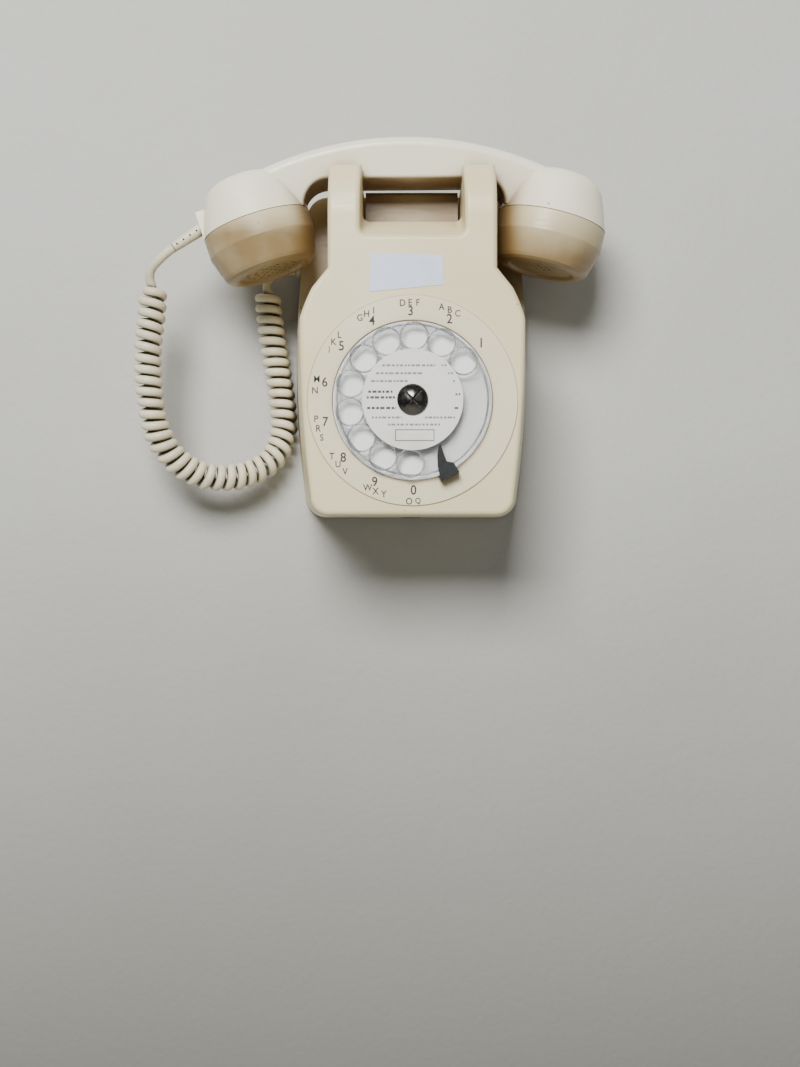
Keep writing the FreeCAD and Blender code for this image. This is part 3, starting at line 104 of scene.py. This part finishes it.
class Finish:
    """A principled material whose colour, roughness and bump come from procedural nodes."""

    def __init__(self, name, colour, roughness=0.4, **sockets):
        self.material = bpy.data.materials.new(name)
        self.material.use_nodes = True
        self.tree = self.material.node_tree
        self.shader = self.tree.nodes["Principled BSDF"]
        self.shader.inputs["Roughness"].default_value = roughness
        for socket, value in sockets.items():
            self.shader.inputs[socket.replace("_", " ")].default_value = value
        base = self.tree.nodes.new("ShaderNodeRGB")
        base.outputs[0].default_value = colour
        self.colour = base.outputs[0]
        self.normal = None
        self.place = self.tree.nodes.new("ShaderNodeTexCoord").outputs["Object"]

    def noise(self, scale, detail=3.0, stretch=(1, 1, 1)):
        """Noise with about `scale` blotches to the metre."""
        mapping = self.tree.nodes.new("ShaderNodeMapping")
        mapping.inputs["Scale"].default_value = stretch
        self.tree.links.new(self.place, mapping.inputs["Vector"])
        node = self.tree.nodes.new("ShaderNodeTexNoise")
        node.inputs["Scale"].default_value = scale
        node.inputs["Detail"].default_value = detail
        self.tree.links.new(mapping.outputs[0], node.inputs["Vector"])
        return node.outputs["Fac"]

    def spots(self, scale, size):
        """Sparse round specks; size is their radius as a share of their spacing."""
        node = self.tree.nodes.new("ShaderNodeTexVoronoi")
        node.inputs["Scale"].default_value = scale
        self.tree.links.new(self.place, node.inputs["Vector"])
        return self.ramp(node.outputs["Distance"], size, size * 0.6)

    def ramp(self, value, low, high, to_low=0.0, to_high=1.0):
        """Stretches the span from low to high over the span from to_low to to_high, and clamps it."""
        node = self.tree.nodes.new("ShaderNodeMapRange")
        limits = {"From Min": low, "From Max": high, "To Min": to_low, "To Max": to_high}
        for socket, number in limits.items():
            node.inputs[socket].default_value = number
        self.tree.links.new(value, node.inputs["Value"])
        return node.outputs["Result"]

    def product(self, first, second):
        node = self.tree.nodes.new("ShaderNodeMath")
        node.operation = "MULTIPLY"
        self.tree.links.new(first, node.inputs[0])
        self.tree.links.new(second, node.inputs[1])
        return node.outputs[0]

    def crevices(self, reach):
        """1 where surfaces close in on each other within reach, 0 in the open."""
        node = self.tree.nodes.new("ShaderNodeAmbientOcclusion")
        node.samples = 6
        node.inputs["Distance"].default_value = reach
        return self.ramp(node.outputs["AO"], 0.75, 0.2)

    def lower(self, high, low):
        """0 above the height `high`, rising to 1 at the height `low`."""
        node = self.tree.nodes.new("ShaderNodeSeparateXYZ")
        self.tree.links.new(self.place, node.inputs[0])
        return self.ramp(node.outputs["Z"], high, low)

    def tint(self, colour, amount):
        """Mixes a colour in where amount is high."""
        node = self.tree.nodes.new("ShaderNodeMix")
        node.data_type = "RGBA"
        self.tree.links.new(amount, node.inputs["Factor"])
        self.tree.links.new(self.colour, node.inputs["A"])
        node.inputs["B"].default_value = colour
        self.colour = node.outputs["Result"]
        return self

    def rough(self, value, low, high):
        self.tree.links.new(self.ramp(value, 0.3, 0.7, low, high), self.shader.inputs["Roughness"])
        return self

    def bump(self, value, height, strength=1.0):
        node = self.tree.nodes.new("ShaderNodeBump")
        node.inputs["Distance"].default_value = height
        node.inputs["Strength"].default_value = strength
        self.tree.links.new(value, node.inputs["Height"])
        if self.normal:
            self.tree.links.new(self.normal, node.inputs["Normal"])
        self.normal = node.outputs["Normal"]
        return self

    def done(self):
        self.tree.links.new(self.colour, self.shader.inputs["Base Color"])
        if self.normal:
            self.tree.links.new(self.normal, self.shader.inputs["Normal"])
        return self.material


def ivory(name, colour, aged, gloss=0.3, underside_shade=None):
    """Aged moulded plastic: yellowed in patches, browned by painted shade in its crevices, with specks and
    fine scuffs.

    The last argument is the pair of heights between which painted shade browns it downwards, in patches.
    """
    f = Finish(name, colour, Coat_Weight=0.12, Coat_Roughness=0.25, IOR=1.5)
    f.tint(aged, f.ramp(f.noise(14, 4), 0.35, 0.75, 0.0, 0.5))
    # painted shade: browner where surfaces close in on each other, as in the trough under the handle
    f.tint(rgb(118, 84, 38), f.ramp(f.crevices(0.032), 0.0, 0.8, 0.0, 0.9))
    f.tint(rgb(120, 100, 72), f.ramp(f.noise(900, 2), 0.70, 0.78, 0.0, 0.4))
    f.tint(rgb(84, 66, 44), f.product(f.spots(70, 0.045), f.ramp(f.noise(25), 0.45, 0.6)))
    # painted shade on the undersides of the caps, darker downwards and broken into patches
    if underside_shade:
        patches = f.ramp(f.noise(50, 4), 0.2, 0.6, 0.6, 0.85)
        f.tint(rgb(128, 100, 54), f.product(f.lower(*underside_shade), patches))
    scuffs = f.noise(60, 5, stretch=(1, 4, 9))
    f.rough(scuffs, gloss, gloss + 0.22)
    f.bump(f.noise(1400, 2), 0.00003).bump(f.noise(90, 2), 0.00012, 0.5)
    return f.done()


def metal(name, colour, roughness, brush=(1, 1, 1), dirt=0.35):
    f = Finish(name, colour, roughness, Metallic=1.0)
    f.tint(rgb(52, 44, 34), f.ramp(f.noise(130, 5), 0.5, 0.8, 0.0, dirt))
    f.rough(f.noise(500, 4, brush), roughness * 0.7, roughness * 1.5)
    f.bump(f.noise(900, 3, brush), 0.00003)
    return f.done()


def moulding(name, colour, roughness, dust, grain=700):
    """Matt plastic, rubber or laminate with dust in its hollows."""
    f = Finish(name, colour, roughness)
    f.tint(dust, f.ramp(f.noise(80, 5), 0.45, 0.8, 0.0, 0.4))
    f.tint(dust, f.ramp(f.crevices(0.006), 0.0, 1.0, 0.0, 0.5))
    f.rough(f.noise(grain, 3), roughness * 0.8, min(1.0, roughness * 1.25))
    f.bump(f.noise(grain, 3), 0.00006)
    return f.done()


def paper(name, colour, fibre):
    f = Finish(name, colour, 0.85)
    f.tint(fibre, f.ramp(f.noise(380, 6, (1, 1, 3)), 0.5, 0.8, 0.0, 0.5))
    f.tint(rgb(186, 176, 150), f.ramp(f.noise(40, 3), 0.55, 0.85, 0.0, 0.4))
    f.bump(f.noise(1600, 4), 0.00004)
    return f.done()


def clear_plastic():
    f = Finish("clear_plastic", rgb(253, 254, 254), 0.06, IOR=1.42, Transmission_Weight=1.0, Alpha=0.45)
    f.tint(rgb(238, 238, 232), f.ramp(f.noise(60, 5), 0.5, 0.8, 0.0, 0.35))
    f.rough(f.noise(220, 5, (1, 1, 6)), 0.03, 0.16)
    f.bump(f.noise(400, 2), 0.00001)
    return f.done()


def clear_edges():
    """Turned edges of the clear wheel, painted grey: painted shade for the dark lines that light trapped
    in them shows.
    """
    f = Finish("clear_edges", rgb(150, 154, 160), 0.1, IOR=1.49, Transmission_Weight=0.6, Alpha=0.8)
    f.tint(rgb(220, 222, 222), f.ramp(f.noise(90, 3), 0.45, 0.65, 0.0, 0.6))
    f.bump(f.noise(300, 3), 0.00002)
    return f.done()


def cord_plastic():
    f = Finish("cord_plastic", rgb(232, 224, 194), Coat_Weight=0.1, Coat_Roughness=0.3, IOR=1.5)
    f.tint(rgb(196, 186, 158), f.ramp(f.noise(45, 4), 0.4, 0.75, 0.0, 0.6))
    # painted shade: dark where the coil's turns close in on each other
    f.tint(rgb(66, 56, 38), f.ramp(f.crevices(0.006), 0.05, 0.6, 0.0, 0.95))
    f.tint(rgb(92, 80, 58), f.ramp(f.noise(700, 3), 0.66, 0.76, 0.0, 0.6))
    f.rough(f.noise(160, 4), 0.34, 0.6)
    f.bump(f.noise(600, 3), 0.00005)
    return f.done()


def ink(name, colour):
    f = Finish(name, colour, 0.55)
    f.tint(rgb(120, 112, 98), f.ramp(f.noise(900, 4), 0.55, 0.75, 0.0, 0.5))
    f.bump(f.noise(1500, 2), 0.00002)
    return f.done()


WALL_SHADE_TOP = -0.05               # heights between which painted shade darkens the wall downwards
WALL_SHADE_FOOT = -0.43


def wall_paint():
    """Rolled wall paint, with painted shade darkening it towards the floor; from behind it lets the eye
    through.
    """
    f = Finish("wall_paint", rgb(196, 197, 193), 0.75)
    f.tint(rgb(184, 184, 178), f.ramp(f.noise(5, 4), 0.4, 0.7, 0.0, 0.5))
    # painted shade: the wall darkens towards the floor as if less light reached it
    f.tint(rgb(128, 127, 121), f.lower(WALL_SHADE_TOP, WALL_SHADE_FOOT))
    f.bump(f.noise(240, 5), 0.0006, 0.6).bump(f.noise(40, 3), 0.001, 0.35)
    material = f.done()
    tree = f.tree
    facing = tree.nodes.new("ShaderNodeNewGeometry")
    through = tree.nodes.new("ShaderNodeBsdfTransparent")
    mix = tree.nodes.new("ShaderNodeMixShader")
    tree.links.new(facing.outputs["Backfacing"], mix.inputs[0])
    tree.links.new(f.shader.outputs[0], mix.inputs[1])
    tree.links.new(through.outputs[0], mix.inputs[2])
    tree.links.new(mix.outputs[0], tree.nodes["Material Output"].inputs["Surface"])
    return material


MOUTH_UNDERSIDE_SHADE = (0.069, 0.057)         # heights in the row frame, with the handset at rest, between which painted shade darkens the caps' undersides
EAR_UNDERSIDE_SHADE = (0.069, 0.045)
CASE_IVORY = ivory("ivory_case", rgb(238, 227, 186), rgb(224, 202, 148))
# painted light: the handset's ivory is a brighter copy of the case's, standing for the light on the
# handset's top
HANDSET_IVORY_LIT = ivory("ivory_handset_lit", rgb(255, 250, 228), rgb(240, 226, 182), 0.26)
MOUTH_IVORY = ivory("ivory_caps", rgb(232, 221, 184), rgb(214, 192, 140), 0.3, MOUTH_UNDERSIDE_SHADE)
EAR_IVORY = ivory("ivory_ear_cap", rgb(232, 221, 184), rgb(214, 192, 140), 0.3, EAR_UNDERSIDE_SHADE)
RING_IVORY = ivory("ivory_ring", rgb(238, 229, 196), rgb(226, 210, 166), 0.34)
CLEAR = clear_plastic()
CLEAR_EDGES = clear_edges()
CORD = cord_plastic()
PAINT = ink("dial_ink", rgb(34, 31, 27))
PALE_INK = ink("card_ink", rgb(138, 136, 132))
DARK_INK = ink("card_ink_dark", rgb(70, 68, 66))

SLOT_FINISHES = {
    "ivory_plastic": CASE_IVORY,
    "clear_plastic": CLEAR,
    "cord_plastic": CORD,
    "base_plastic": moulding("base_plastic", rgb(150, 142, 122), 0.6, rgb(104, 94, 76)),
    "card_paper": paper("card_paper", rgb(240, 240, 236), rgb(222, 221, 214)),
    "label_paper": paper("label_paper", rgb(222, 236, 255), rgb(206, 220, 246)),
    "dial_white": moulding("dial_white", rgb(250, 252, 252), 0.42, rgb(226, 228, 226)),
    "dark_metal": metal("dark_metal", rgb(112, 110, 106), 0.22, dirt=0.6),
    "stop_metal": metal("stop_metal", rgb(58, 60, 61), 0.5, dirt=0.7),
    "steel": metal("steel", rgb(190, 190, 186), 0.32, (1, 12, 1)),
    "brass": metal("brass", rgb(206, 168, 96), 0.3, (1, 12, 1)),
    "gong_metal": metal("gong_metal", rgb(206, 204, 198), 0.2, (9, 1, 9)),
    "copper": metal("copper", rgb(190, 108, 66), 0.36, (1, 1, 30)),
    "board": moulding("board", rgb(128, 92, 48), 0.5, rgb(94, 70, 42), 1500),
    "bakelite": moulding("bakelite", rgb(58, 38, 28), 0.35, rgb(98, 80, 62)),
    "can_metal": metal("can_metal", rgb(176, 178, 178), 0.4, (1, 1, 14)),
    "grommet_rubber": moulding("grommet_rubber", rgb(128, 120, 104), 0.7, rgb(116, 108, 94), 1200),
    "wire_plastic": moulding("wire_plastic", rgb(172, 66, 48), 0.45, rgb(128, 92, 76)),
}
NODE_FINISHES = {
    "handset_shell": HANDSET_IVORY_LIT,
    "mouthpiece_cap": MOUTH_IVORY,
    "earpiece_cap": EAR_IVORY,
    "number_ring": RING_IVORY,
}


def finish_cad_nodes():
    """Gives every CAD node the material of its slot, or its own."""
    for part in frame["record"]["subparts"]:
        node = part["node"]
        mesh = frame["nodes"][node].data
        mesh.materials.clear()
        mesh.materials.append(NODE_FINISHES.get(node) or SLOT_FINISHES[part["material_slot"]])


finish_cad_nodes()


# ---- mesh helpers ------------------------------------------------------------------------------
def mesh_piece(name, points, faces, material, smooth=True):
    mesh = bpy.data.meshes.new(name)
    mesh.from_pydata([tuple(p) for p in points], [], faces)
    mesh.materials.append(material)
    mesh.validate()
    for polygon in mesh.polygons:
        polygon.use_smooth = smooth
    piece = bpy.data.objects.new(name, mesh)
    bpy.context.scene.collection.objects.link(piece)
    return piece


def lathe(centre, profile, sides=48):
    """Points and faces of a closed ring turned about Y; profile is (radius, y) going round."""
    points, faces = [], []
    count = len(profile)
    for i in range(sides):
        a = 2 * math.pi * i / sides
        for r, y in profile:
            points.append(centre + Vector((r * math.cos(a), y, r * math.sin(a))))
    for i in range(sides):
        for j in range(count):
            a, b = i * count, (i + 1) % sides * count
            k = (j + 1) % count
            faces.append((a + j, a + k, b + k, b + j))
    return points, faces


class Line:
    """A polyline read by its length, with frames that don't twist."""

    def __init__(self, points):
        self.points = points
        self.reach = [0.0]
        for a, b in zip(points, points[1:]):
            self.reach.append(self.reach[-1] + (b - a).length)

    @property
    def length(self):
        return self.reach[-1]

    def reach_near(self, spot):
        """Length along the line to its point nearest a spot."""
        nearest = min(range(len(self.points)), key=lambda i: (self.points[i] - spot).length)
        return self.reach[nearest]

    def place(self, s):
        """The point at the length s along the line."""
        s = min(max(s, 0.0), self.length)
        low, high = 0, len(self.reach) - 1
        while high - low > 1:
            middle = (low + high) // 2
            if self.reach[middle] <= s:
                low = middle
            else:
                high = middle
        share = (s - self.reach[low]) / max(self.reach[high] - self.reach[low], 1e-12)
        return self.points[low].lerp(self.points[high], share)

    def frames(self, steps, first_side):
        """(point, tangent, side, other side) at even steps along the line."""
        side = first_side
        step = self.length / steps
        for i in range(steps + 1):
            tangent = (self.place((i + 0.5) * step) - self.place((i - 0.5) * step)).normalized()
            side = (side - tangent * side.dot(tangent)).normalized()
            yield self.place(i * step), tangent, side, tangent.cross(side)


def tube(line, radius, steps, sides=14):
    """Points and faces of a closed tube along a line."""
    points, faces = [], []
    for centre, _, side, other in line.frames(steps, Vector((0, 1, 0.2))):
        for j in range(sides):
            a = 2 * math.pi * j / sides
            points.append(centre + (side * math.cos(a) + other * math.sin(a)) * radius)
    for i in range(steps):
        for j in range(sides):
            k = (j + 1) % sides
            a, b = i * sides, (i + 1) * sides
            faces.append((a + j, a + k, b + k, b + j))
    faces.append(tuple(reversed(range(sides))))
    faces.append(tuple(steps * sides + j for j in range(sides)))
    return points, faces


def smooth_line(points):
    """The NURBS spline that has these control points, as closely spaced points."""
    curve = bpy.data.curves.new("route", "CURVE")
    curve.dimensions = "3D"
    curve.resolution_u = 24
    spline = curve.splines.new("NURBS")
    spline.points.add(len(points) - 1)
    for knot, point in zip(spline.points, points):
        knot.co = (*point, 1.0)
    spline.order_u = 3
    spline.use_endpoint_u = True
    holder = bpy.data.objects.new("route", curve)
    bpy.context.scene.collection.objects.link(holder)
    bpy.context.view_layer.update()
    mesh = bpy.data.meshes.new_from_object(holder)
    found = [v.co.copy() for v in mesh.vertices]
    bpy.data.objects.remove(holder)
    bpy.data.curves.remove(curve)
    bpy.data.meshes.remove(mesh)
    return found


def smooth_step(x):
    x = min(max(x, 0.0), 1.0)
    return x * x * (3 - 2 * x)


# ---- handset cord --------------------------------------------------------------------------------
WIRE_D = 0.0050
COIL_OUTER_D = 0.0156
COIL_TURNS = 42
STEPS_PER_TURN = 18
COIL_EASE = 0.8                      # turns over which the coil grows from the lead, and how early
COIL_EARLY = 0.35
TURN_SIZES = (0.95, 1.03)            # unevenness of the turns, and of their spacing in turns
TURN_SHIFT = 0.05
LEAD_START = 0.0045                  # straight run out of the strain relief
GLAND_SMALL_R = 0.0027
GLAND_DROP = math.radians(33.75)
HANDSET_LEAD = [(-0.1363, 0.0376, 0.0794), (-0.1412, 0.0398, 0.0752), (-0.1426, 0.0426, 0.0696)]
COIL_ROUTE = [(-0.1404, 0.0440, 0.0646), (-0.1415, 0.0436, 0.0490), (-0.1436, 0.0438, 0.0330),
              (-0.1433, 0.0442, 0.0170), (-0.1420, 0.0446, 0.0015), (-0.1390, 0.0460, -0.0140),
              (-0.1310, 0.0494, -0.0275), (-0.1185, 0.0542, -0.0360), (-0.1040, 0.0598, -0.0380),
              (-0.0890, 0.0656, -0.0350), (-0.0766, 0.0706, -0.0260), (-0.0716, 0.0740, -0.0110),
              (-0.0728, 0.0754, 0.0055), (-0.0753, 0.0756, 0.0215), (-0.0782, 0.0755, 0.0375),
              (-0.0802, 0.0756, 0.0530), (-0.0816, 0.0756, 0.0675)]
CASE_LEAD = [(-0.0819, 0.0757, 0.0724), (-0.0802, 0.0764, 0.0774), (-0.0762, 0.0772, 0.0806),
             (-0.0708, 0.0774, 0.0810)]


def cord_ends():
    """Tip of the handset's strain relief with its direction, and the face of the case's gland."""
    low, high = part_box("handset_cord_gland")
    tip = Vector((low.x + GLAND_SMALL_R * math.sin(GLAND_DROP), (low.y + high.y) / 2,
                  low.z + GLAND_SMALL_R * math.cos(GLAND_DROP)))
    towards = Vector((-math.cos(GLAND_DROP), 0, -math.sin(GLAND_DROP)))
    low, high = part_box("case_cord_gland")
    return tip, towards, Vector((low.x, (low.y + high.y) / 2, (low.z + high.z) / 2))


def helix_path(route, coil_start, coil_end):
    """The wire's centreline: straight along the leads, wound left-handed along the coil."""
    rng = random.Random(SEED)
    coil_length = coil_end - coil_start
    steps = int(STEPS_PER_TURN * COIL_TURNS * route.length / coil_length)
    wound_r = (COIL_OUTER_D - WIRE_D) / 2
    sizes = [rng.uniform(*TURN_SIZES) for _ in range(COIL_TURNS + 2)]
    shifts = [rng.uniform(-TURN_SHIFT, TURN_SHIFT) for _ in range(COIL_TURNS + 2)]
    path = []
    for i, (centre, _, side, other) in enumerate(route.frames(steps, Vector((-1, 0, 0)))):
        s = i * route.length / steps
        turn = (s - coil_start) / coil_length * COIL_TURNS
        whole = min(max(int(turn), 0), COIL_TURNS)
        part = min(max(turn - whole, 0.0), 1.0)
        size = sizes[whole] + (sizes[whole + 1] - sizes[whole]) * smooth_step(part)
        shift = shifts[whole] + (shifts[whole + 1] - shifts[whole]) * smooth_step(part)
        grown = smooth_step((turn + COIL_EARLY) / COIL_EASE)
        grown *= smooth_step((COIL_TURNS + COIL_EARLY - turn) / COIL_EASE)
        angle = -2 * math.pi * (turn + shift)
        outwards = side * math.cos(angle) + other * math.sin(angle)
        path.append(centre + outwards * wound_r * size * grown)
    return path


def make_cord():
    tip, towards, face = cord_ends()
    lead = [tip, tip + towards * LEAD_START] + [at(*p) for p in HANDSET_LEAD]
    coil = [at(*p) for p in COIL_ROUTE]
    entry = [at(*p) for p in CASE_LEAD] + [face]
    route = Line(smooth_line(lead + coil + entry))
    path = helix_path(route, route.reach_near(coil[0]), route.reach_near(coil[-1]))
    points, faces = tube(Line(path), WIRE_D / 2, len(path) - 1)
    cord = mesh_piece("curly_cord", points, faces, CORD)
    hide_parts("cord_lead_handset", "cord_coil", "cord_lead_case")
    tuple(tip)
    [tuple(p) for p in path]
    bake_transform(cord)


make_cord()


# ---- dial: printed figures, card lines, wheel collars --------------------------------------------
FIGURE_R = 0.0459
LETTER_R = 0.0502
FIGURE_H = 0.0049
LETTER_H = 0.0034
FIRST_FIGURE = 40.0
FIGURE_PITCH = 25.63
LETTERS_TURN_BACK = 155.0            # past this angle a group reads downwards and then to the right
OPERATOR_OUT = 0.0015                # how much further out the last group stands
INK_T = 0.00006
# letters over each figure, with the angle of their middle and the angle between two of them
GROUPS = [("", 0.0, 0.0), ("ABC", 67.6, 5.1), ("DEF", 91.3, 4.5), ("GHI", 117.9, 4.6),
          ("JKL", 143.3, 5.3), ("MN", 170.8, 6.8), ("PRS", 196.6, 5.7), ("TUV", 220.6, 5.9),
          ("WXY", 247.9, 5.1), ("OQ", 270.6, 5.0)]
GLYPH_NARROW = 0.92
GLYPH_WEIGHT = 0.012


def glyph(text, centre, height):
    """Points and faces of one character standing upright and facing the front."""
    curve = bpy.data.curves.new("glyph", "FONT")
    curve.body = text
    curve.extrude = INK_T / height * 0.36
    curve.offset = GLYPH_WEIGHT
    holder = bpy.data.objects.new("glyph", curve)
    bpy.context.scene.collection.objects.link(holder)
    bpy.context.view_layer.update()
    mesh = bpy.data.meshes.new_from_object(holder)
    xs = [v.co.x for v in mesh.vertices]
    ys = [v.co.y for v in mesh.vertices]
    scale = height / (max(ys) - min(ys))
    middle = Vector(((min(xs) + max(xs)) / 2, (min(ys) + max(ys)) / 2, 0))
    points = []
    for v in mesh.vertices:
        p = (v.co - middle) * scale
        points.append(centre + Vector((p.x * GLYPH_NARROW, -p.z, p.y)))
    faces = [tuple(polygon.vertices) for polygon in mesh.polygons]
    bpy.data.objects.remove(holder)
    bpy.data.curves.remove(curve)
    bpy.data.meshes.remove(mesh)
    return points, faces


def joined(pieces):
    """One list of points and one of faces from several."""
    points, faces = [], []
    for more, others in pieces:
        start = len(points)
        points += more
        faces += [tuple(start + i for i in face) for face in others]
    return points, faces


def round_place(radius, degrees, y):
    """A place round the dial, anticlockwise from the right as seen from the front."""
    a = math.radians(degrees)
    return Vector((DIAL_X + radius * math.cos(a), y, DIAL_Z + radius * math.sin(a)))


def make_figures():
    """The figures, upright round the wheel, and the letters outside them."""
    y = RING_LOW.y - INK_T / 2
    figures, letters = [], []
    for i, (group, middle, pitch) in enumerate(GROUPS):
        degrees = FIRST_FIGURE + i * FIGURE_PITCH
        figures.append(glyph(str((i + 1) % 10), round_place(FIGURE_R, degrees, y), FIGURE_H))
        for j, letter in enumerate(group):
            turn = ((len(group) - 1) / 2 - j) * pitch
            turn = turn if middle < LETTERS_TURN_BACK else -turn
            radius = LETTER_R + (OPERATOR_OUT if group == "OQ" else 0)
            letters.append(glyph(letter, round_place(radius, middle + turn, y), LETTER_H))
    for name, pieces in (("dial_figures", figures), ("dial_letters", letters)):
        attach(mesh_piece(name, *joined(pieces), PAINT, smooth=False), "case")


# printed rows of the card, as (left, right, height above the centre, thickness) in mm
PALE_ROWS = [(-15.5, 11.4, 17.3, 1.0), (14.6, 17.3, 17.3, 0.9), (-18.6, 5.4, 13.3, 1.0),
             (18.0, 20.6, 13.3, 0.9), (-21.2, -1.9, 9.3, 1.0), (20.4, 22.5, 9.3, 0.9),
             (-20.7, -5.5, -9.2, 1.0), (6.3, 21.6, -9.2, 1.0), (-12.5, 14.3, -12.8, 1.0)]
DARK_ROWS = [(-22.6, -10.2, 3.9, 1.2), (-23.3, -8.6, 1.0, 1.2), (21.8, 24.2, 2.6, 1.0),
             (-23.1, -8.4, -4.4, 1.2), (21.3, 23.6, -4.4, 1.0)]
CARD_FRAME = (1.1, -18.2, 20.0, 5.9, 0.4)   # middle x and height, width, height, line, in mm
DASH = 1.5
GAP = 0.7


def slab(x0, x1, z0, z1, y0, y1):
    """Points and faces of a flat block; x and z are in mm from the dial's centre, y in metres."""
    corners = [Vector((DIAL_X + x * MM, y, DIAL_Z + z * MM))
               for y in (y0, y1) for x, z in ((x0, z0), (x1, z0), (x1, z1), (x0, z1))]
    faces = [(0, 1, 2, 3), (7, 6, 5, 4), (0, 4, 5, 1), (1, 5, 6, 2), (2, 6, 7, 3), (3, 7, 4, 0)]
    return corners, faces


def dashes(rows, y0, y1):
    """Short strokes of uneven length along each row."""
    rng = random.Random(SEED)
    pieces = []
    for left, right, z, thick in rows:
        x = left
        while x < right - 0.3:
            end = min(right, x + DASH * rng.uniform(0.6, 1.5))
            pieces.append(slab(x, end, z - thick / 2, z + thick / 2, y0, y1))
            x = end + GAP * rng.uniform(0.6, 1.2)
    return pieces


def make_card_print():
    """Rows of strokes in place of words, and the frame for a number."""
    card_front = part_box("dial_card")[0].y
    y0, y1 = card_front - INK_T, card_front + INK_T / 2
    x, z, width, height, line = CARD_FRAME
    left, right, low, high = x - width / 2, x + width / 2, z - height / 2, z + height / 2
    frame_bars = [slab(left, right, high - line, high, y0, y1), slab(left, right, low, low + line, y0, y1),
                  slab(left, left + line, low + line, high - line, y0, y1),
                  slab(right - line, right, low + line, high - line, y0, y1)]
    for name, pieces, material in (("card_rows_pale", dashes(PALE_ROWS, y0, y1), PALE_INK),
                                   ("card_rows_dark", dashes(DARK_ROWS, y0, y1), DARK_INK),
                                   ("card_number_frame", frame_bars, DARK_INK)):
        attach(mesh_piece(name, *joined(pieces), material, smooth=False), "dial")


HOLE_CIRCLE_R = 0.0325
HOLE_R = 0.0065
FIRST_HOLE = 37.2
HOLE_PITCH = 25.65
COLLAR_T = 0.0010
COLLAR_H = 0.0005
COLLAR_SUNK = 0.0004                 # how far collars and rim reach into the wheel
RIM_INSET = 0.0012
RIM_T = 0.0011
RIM_LOWER = 0.0003                   # how much lower the rim stands than the collars


def collar_profile(r_in, r_out, front, back):
    """Rounded cross-section of a raised ring, as (radius, y)."""
    middle, half = (r_in + r_out) / 2, (r_out - r_in) / 2
    arc = [(middle + half * math.cos(a), front + half * 0.8 * (1 - math.sin(a)))
           for a in (math.pi * i / 8 for i in range(9))]
    return [(r_out, back)] + arc + [(r_in, back)]


def make_wheel_collars():
    """Raised clear collars round the finger holes, and the wheel's own raised rim."""
    low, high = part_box("finger_wheel")
    front, back = low.y - COLLAR_H, low.y + COLLAR_SUNK
    pieces = []
    for i in range(10):
        centre = round_place(HOLE_CIRCLE_R, FIRST_HOLE + i * HOLE_PITCH, 0.0)
        pieces.append(lathe(centre, collar_profile(HOLE_R, HOLE_R + COLLAR_T, front, back)))
    rim_r = (high.x - low.x) / 2 - RIM_INSET
    rim = collar_profile(rim_r - RIM_T, rim_r, front + RIM_LOWER, back)
    pieces.append(lathe(Vector((DIAL_X, 0, DIAL_Z)), rim, 160))
    collars = mesh_piece("finger_hole_collars", *joined(pieces), CLEAR_EDGES)
    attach(collars, "dial")


make_figures()
make_card_print()
make_wheel_collars()


# ---- stage and lights ----------------------------------------------------------------------------
STAGE_HALF = 2.5
WALL_GAP = 0.0006
FLOOR_Z = -1.3
WORLD_COLOUR = (0.94, 0.97, 1.0, 1.0)
WORLD_STRENGTH = 0.09


def make_stage():
    """The wall behind the telephone and the floor below it."""
    low, high = -STAGE_HALF, STAGE_HALF
    wall = mesh_piece("wall", [(low, WALL_GAP, FLOOR_Z), (high, WALL_GAP, FLOOR_Z), (high, WALL_GAP, high),
                               (low, WALL_GAP, high)], [(0, 1, 2, 3)], wall_paint(), smooth=False)
    floor_paint = moulding("floor_paint", rgb(206, 204, 198), 0.8, rgb(188, 184, 176), 60)
    floor = mesh_piece("floor", [(low, WALL_GAP, FLOOR_Z), (low, -high, FLOOR_Z), (high, -high, FLOOR_Z),
                                 (high, WALL_GAP, FLOOR_Z)], [(0, 1, 2, 3)], floor_paint, smooth=False)


def area_light(name, place, width, height, power, colour):
    """A soft light that faces the origin."""
    data = bpy.data.lights.new(name, "AREA")
    data.shape = "RECTANGLE"
    data.size, data.size_y = width, height
    data.energy = power
    data.color = colour
    light = bpy.data.objects.new(name, data)
    light.location = place
    light.rotation_euler = (-Vector(place)).to_track_quat("-Z", "Y").to_euler()
    bpy.context.scene.collection.objects.link(light)


def make_lights():
    area_light("key", (-0.40, -1.75, 0.96), 0.95, 0.75, 70.0, (1.0, 0.985, 0.96))
    area_light("fill", (1.3, -1.9, 0.5), 1.4, 1.4, 2.0, (0.96, 0.98, 1.0))
    world = bpy.data.worlds.new("soft_room")
    world.use_nodes = True
    background = world.node_tree.nodes["Background"]
    background.inputs["Color"].default_value = WORLD_COLOUR
    background.inputs["Strength"].default_value = WORLD_STRENGTH
    bpy.context.scene.world = world


make_stage()
make_lights()
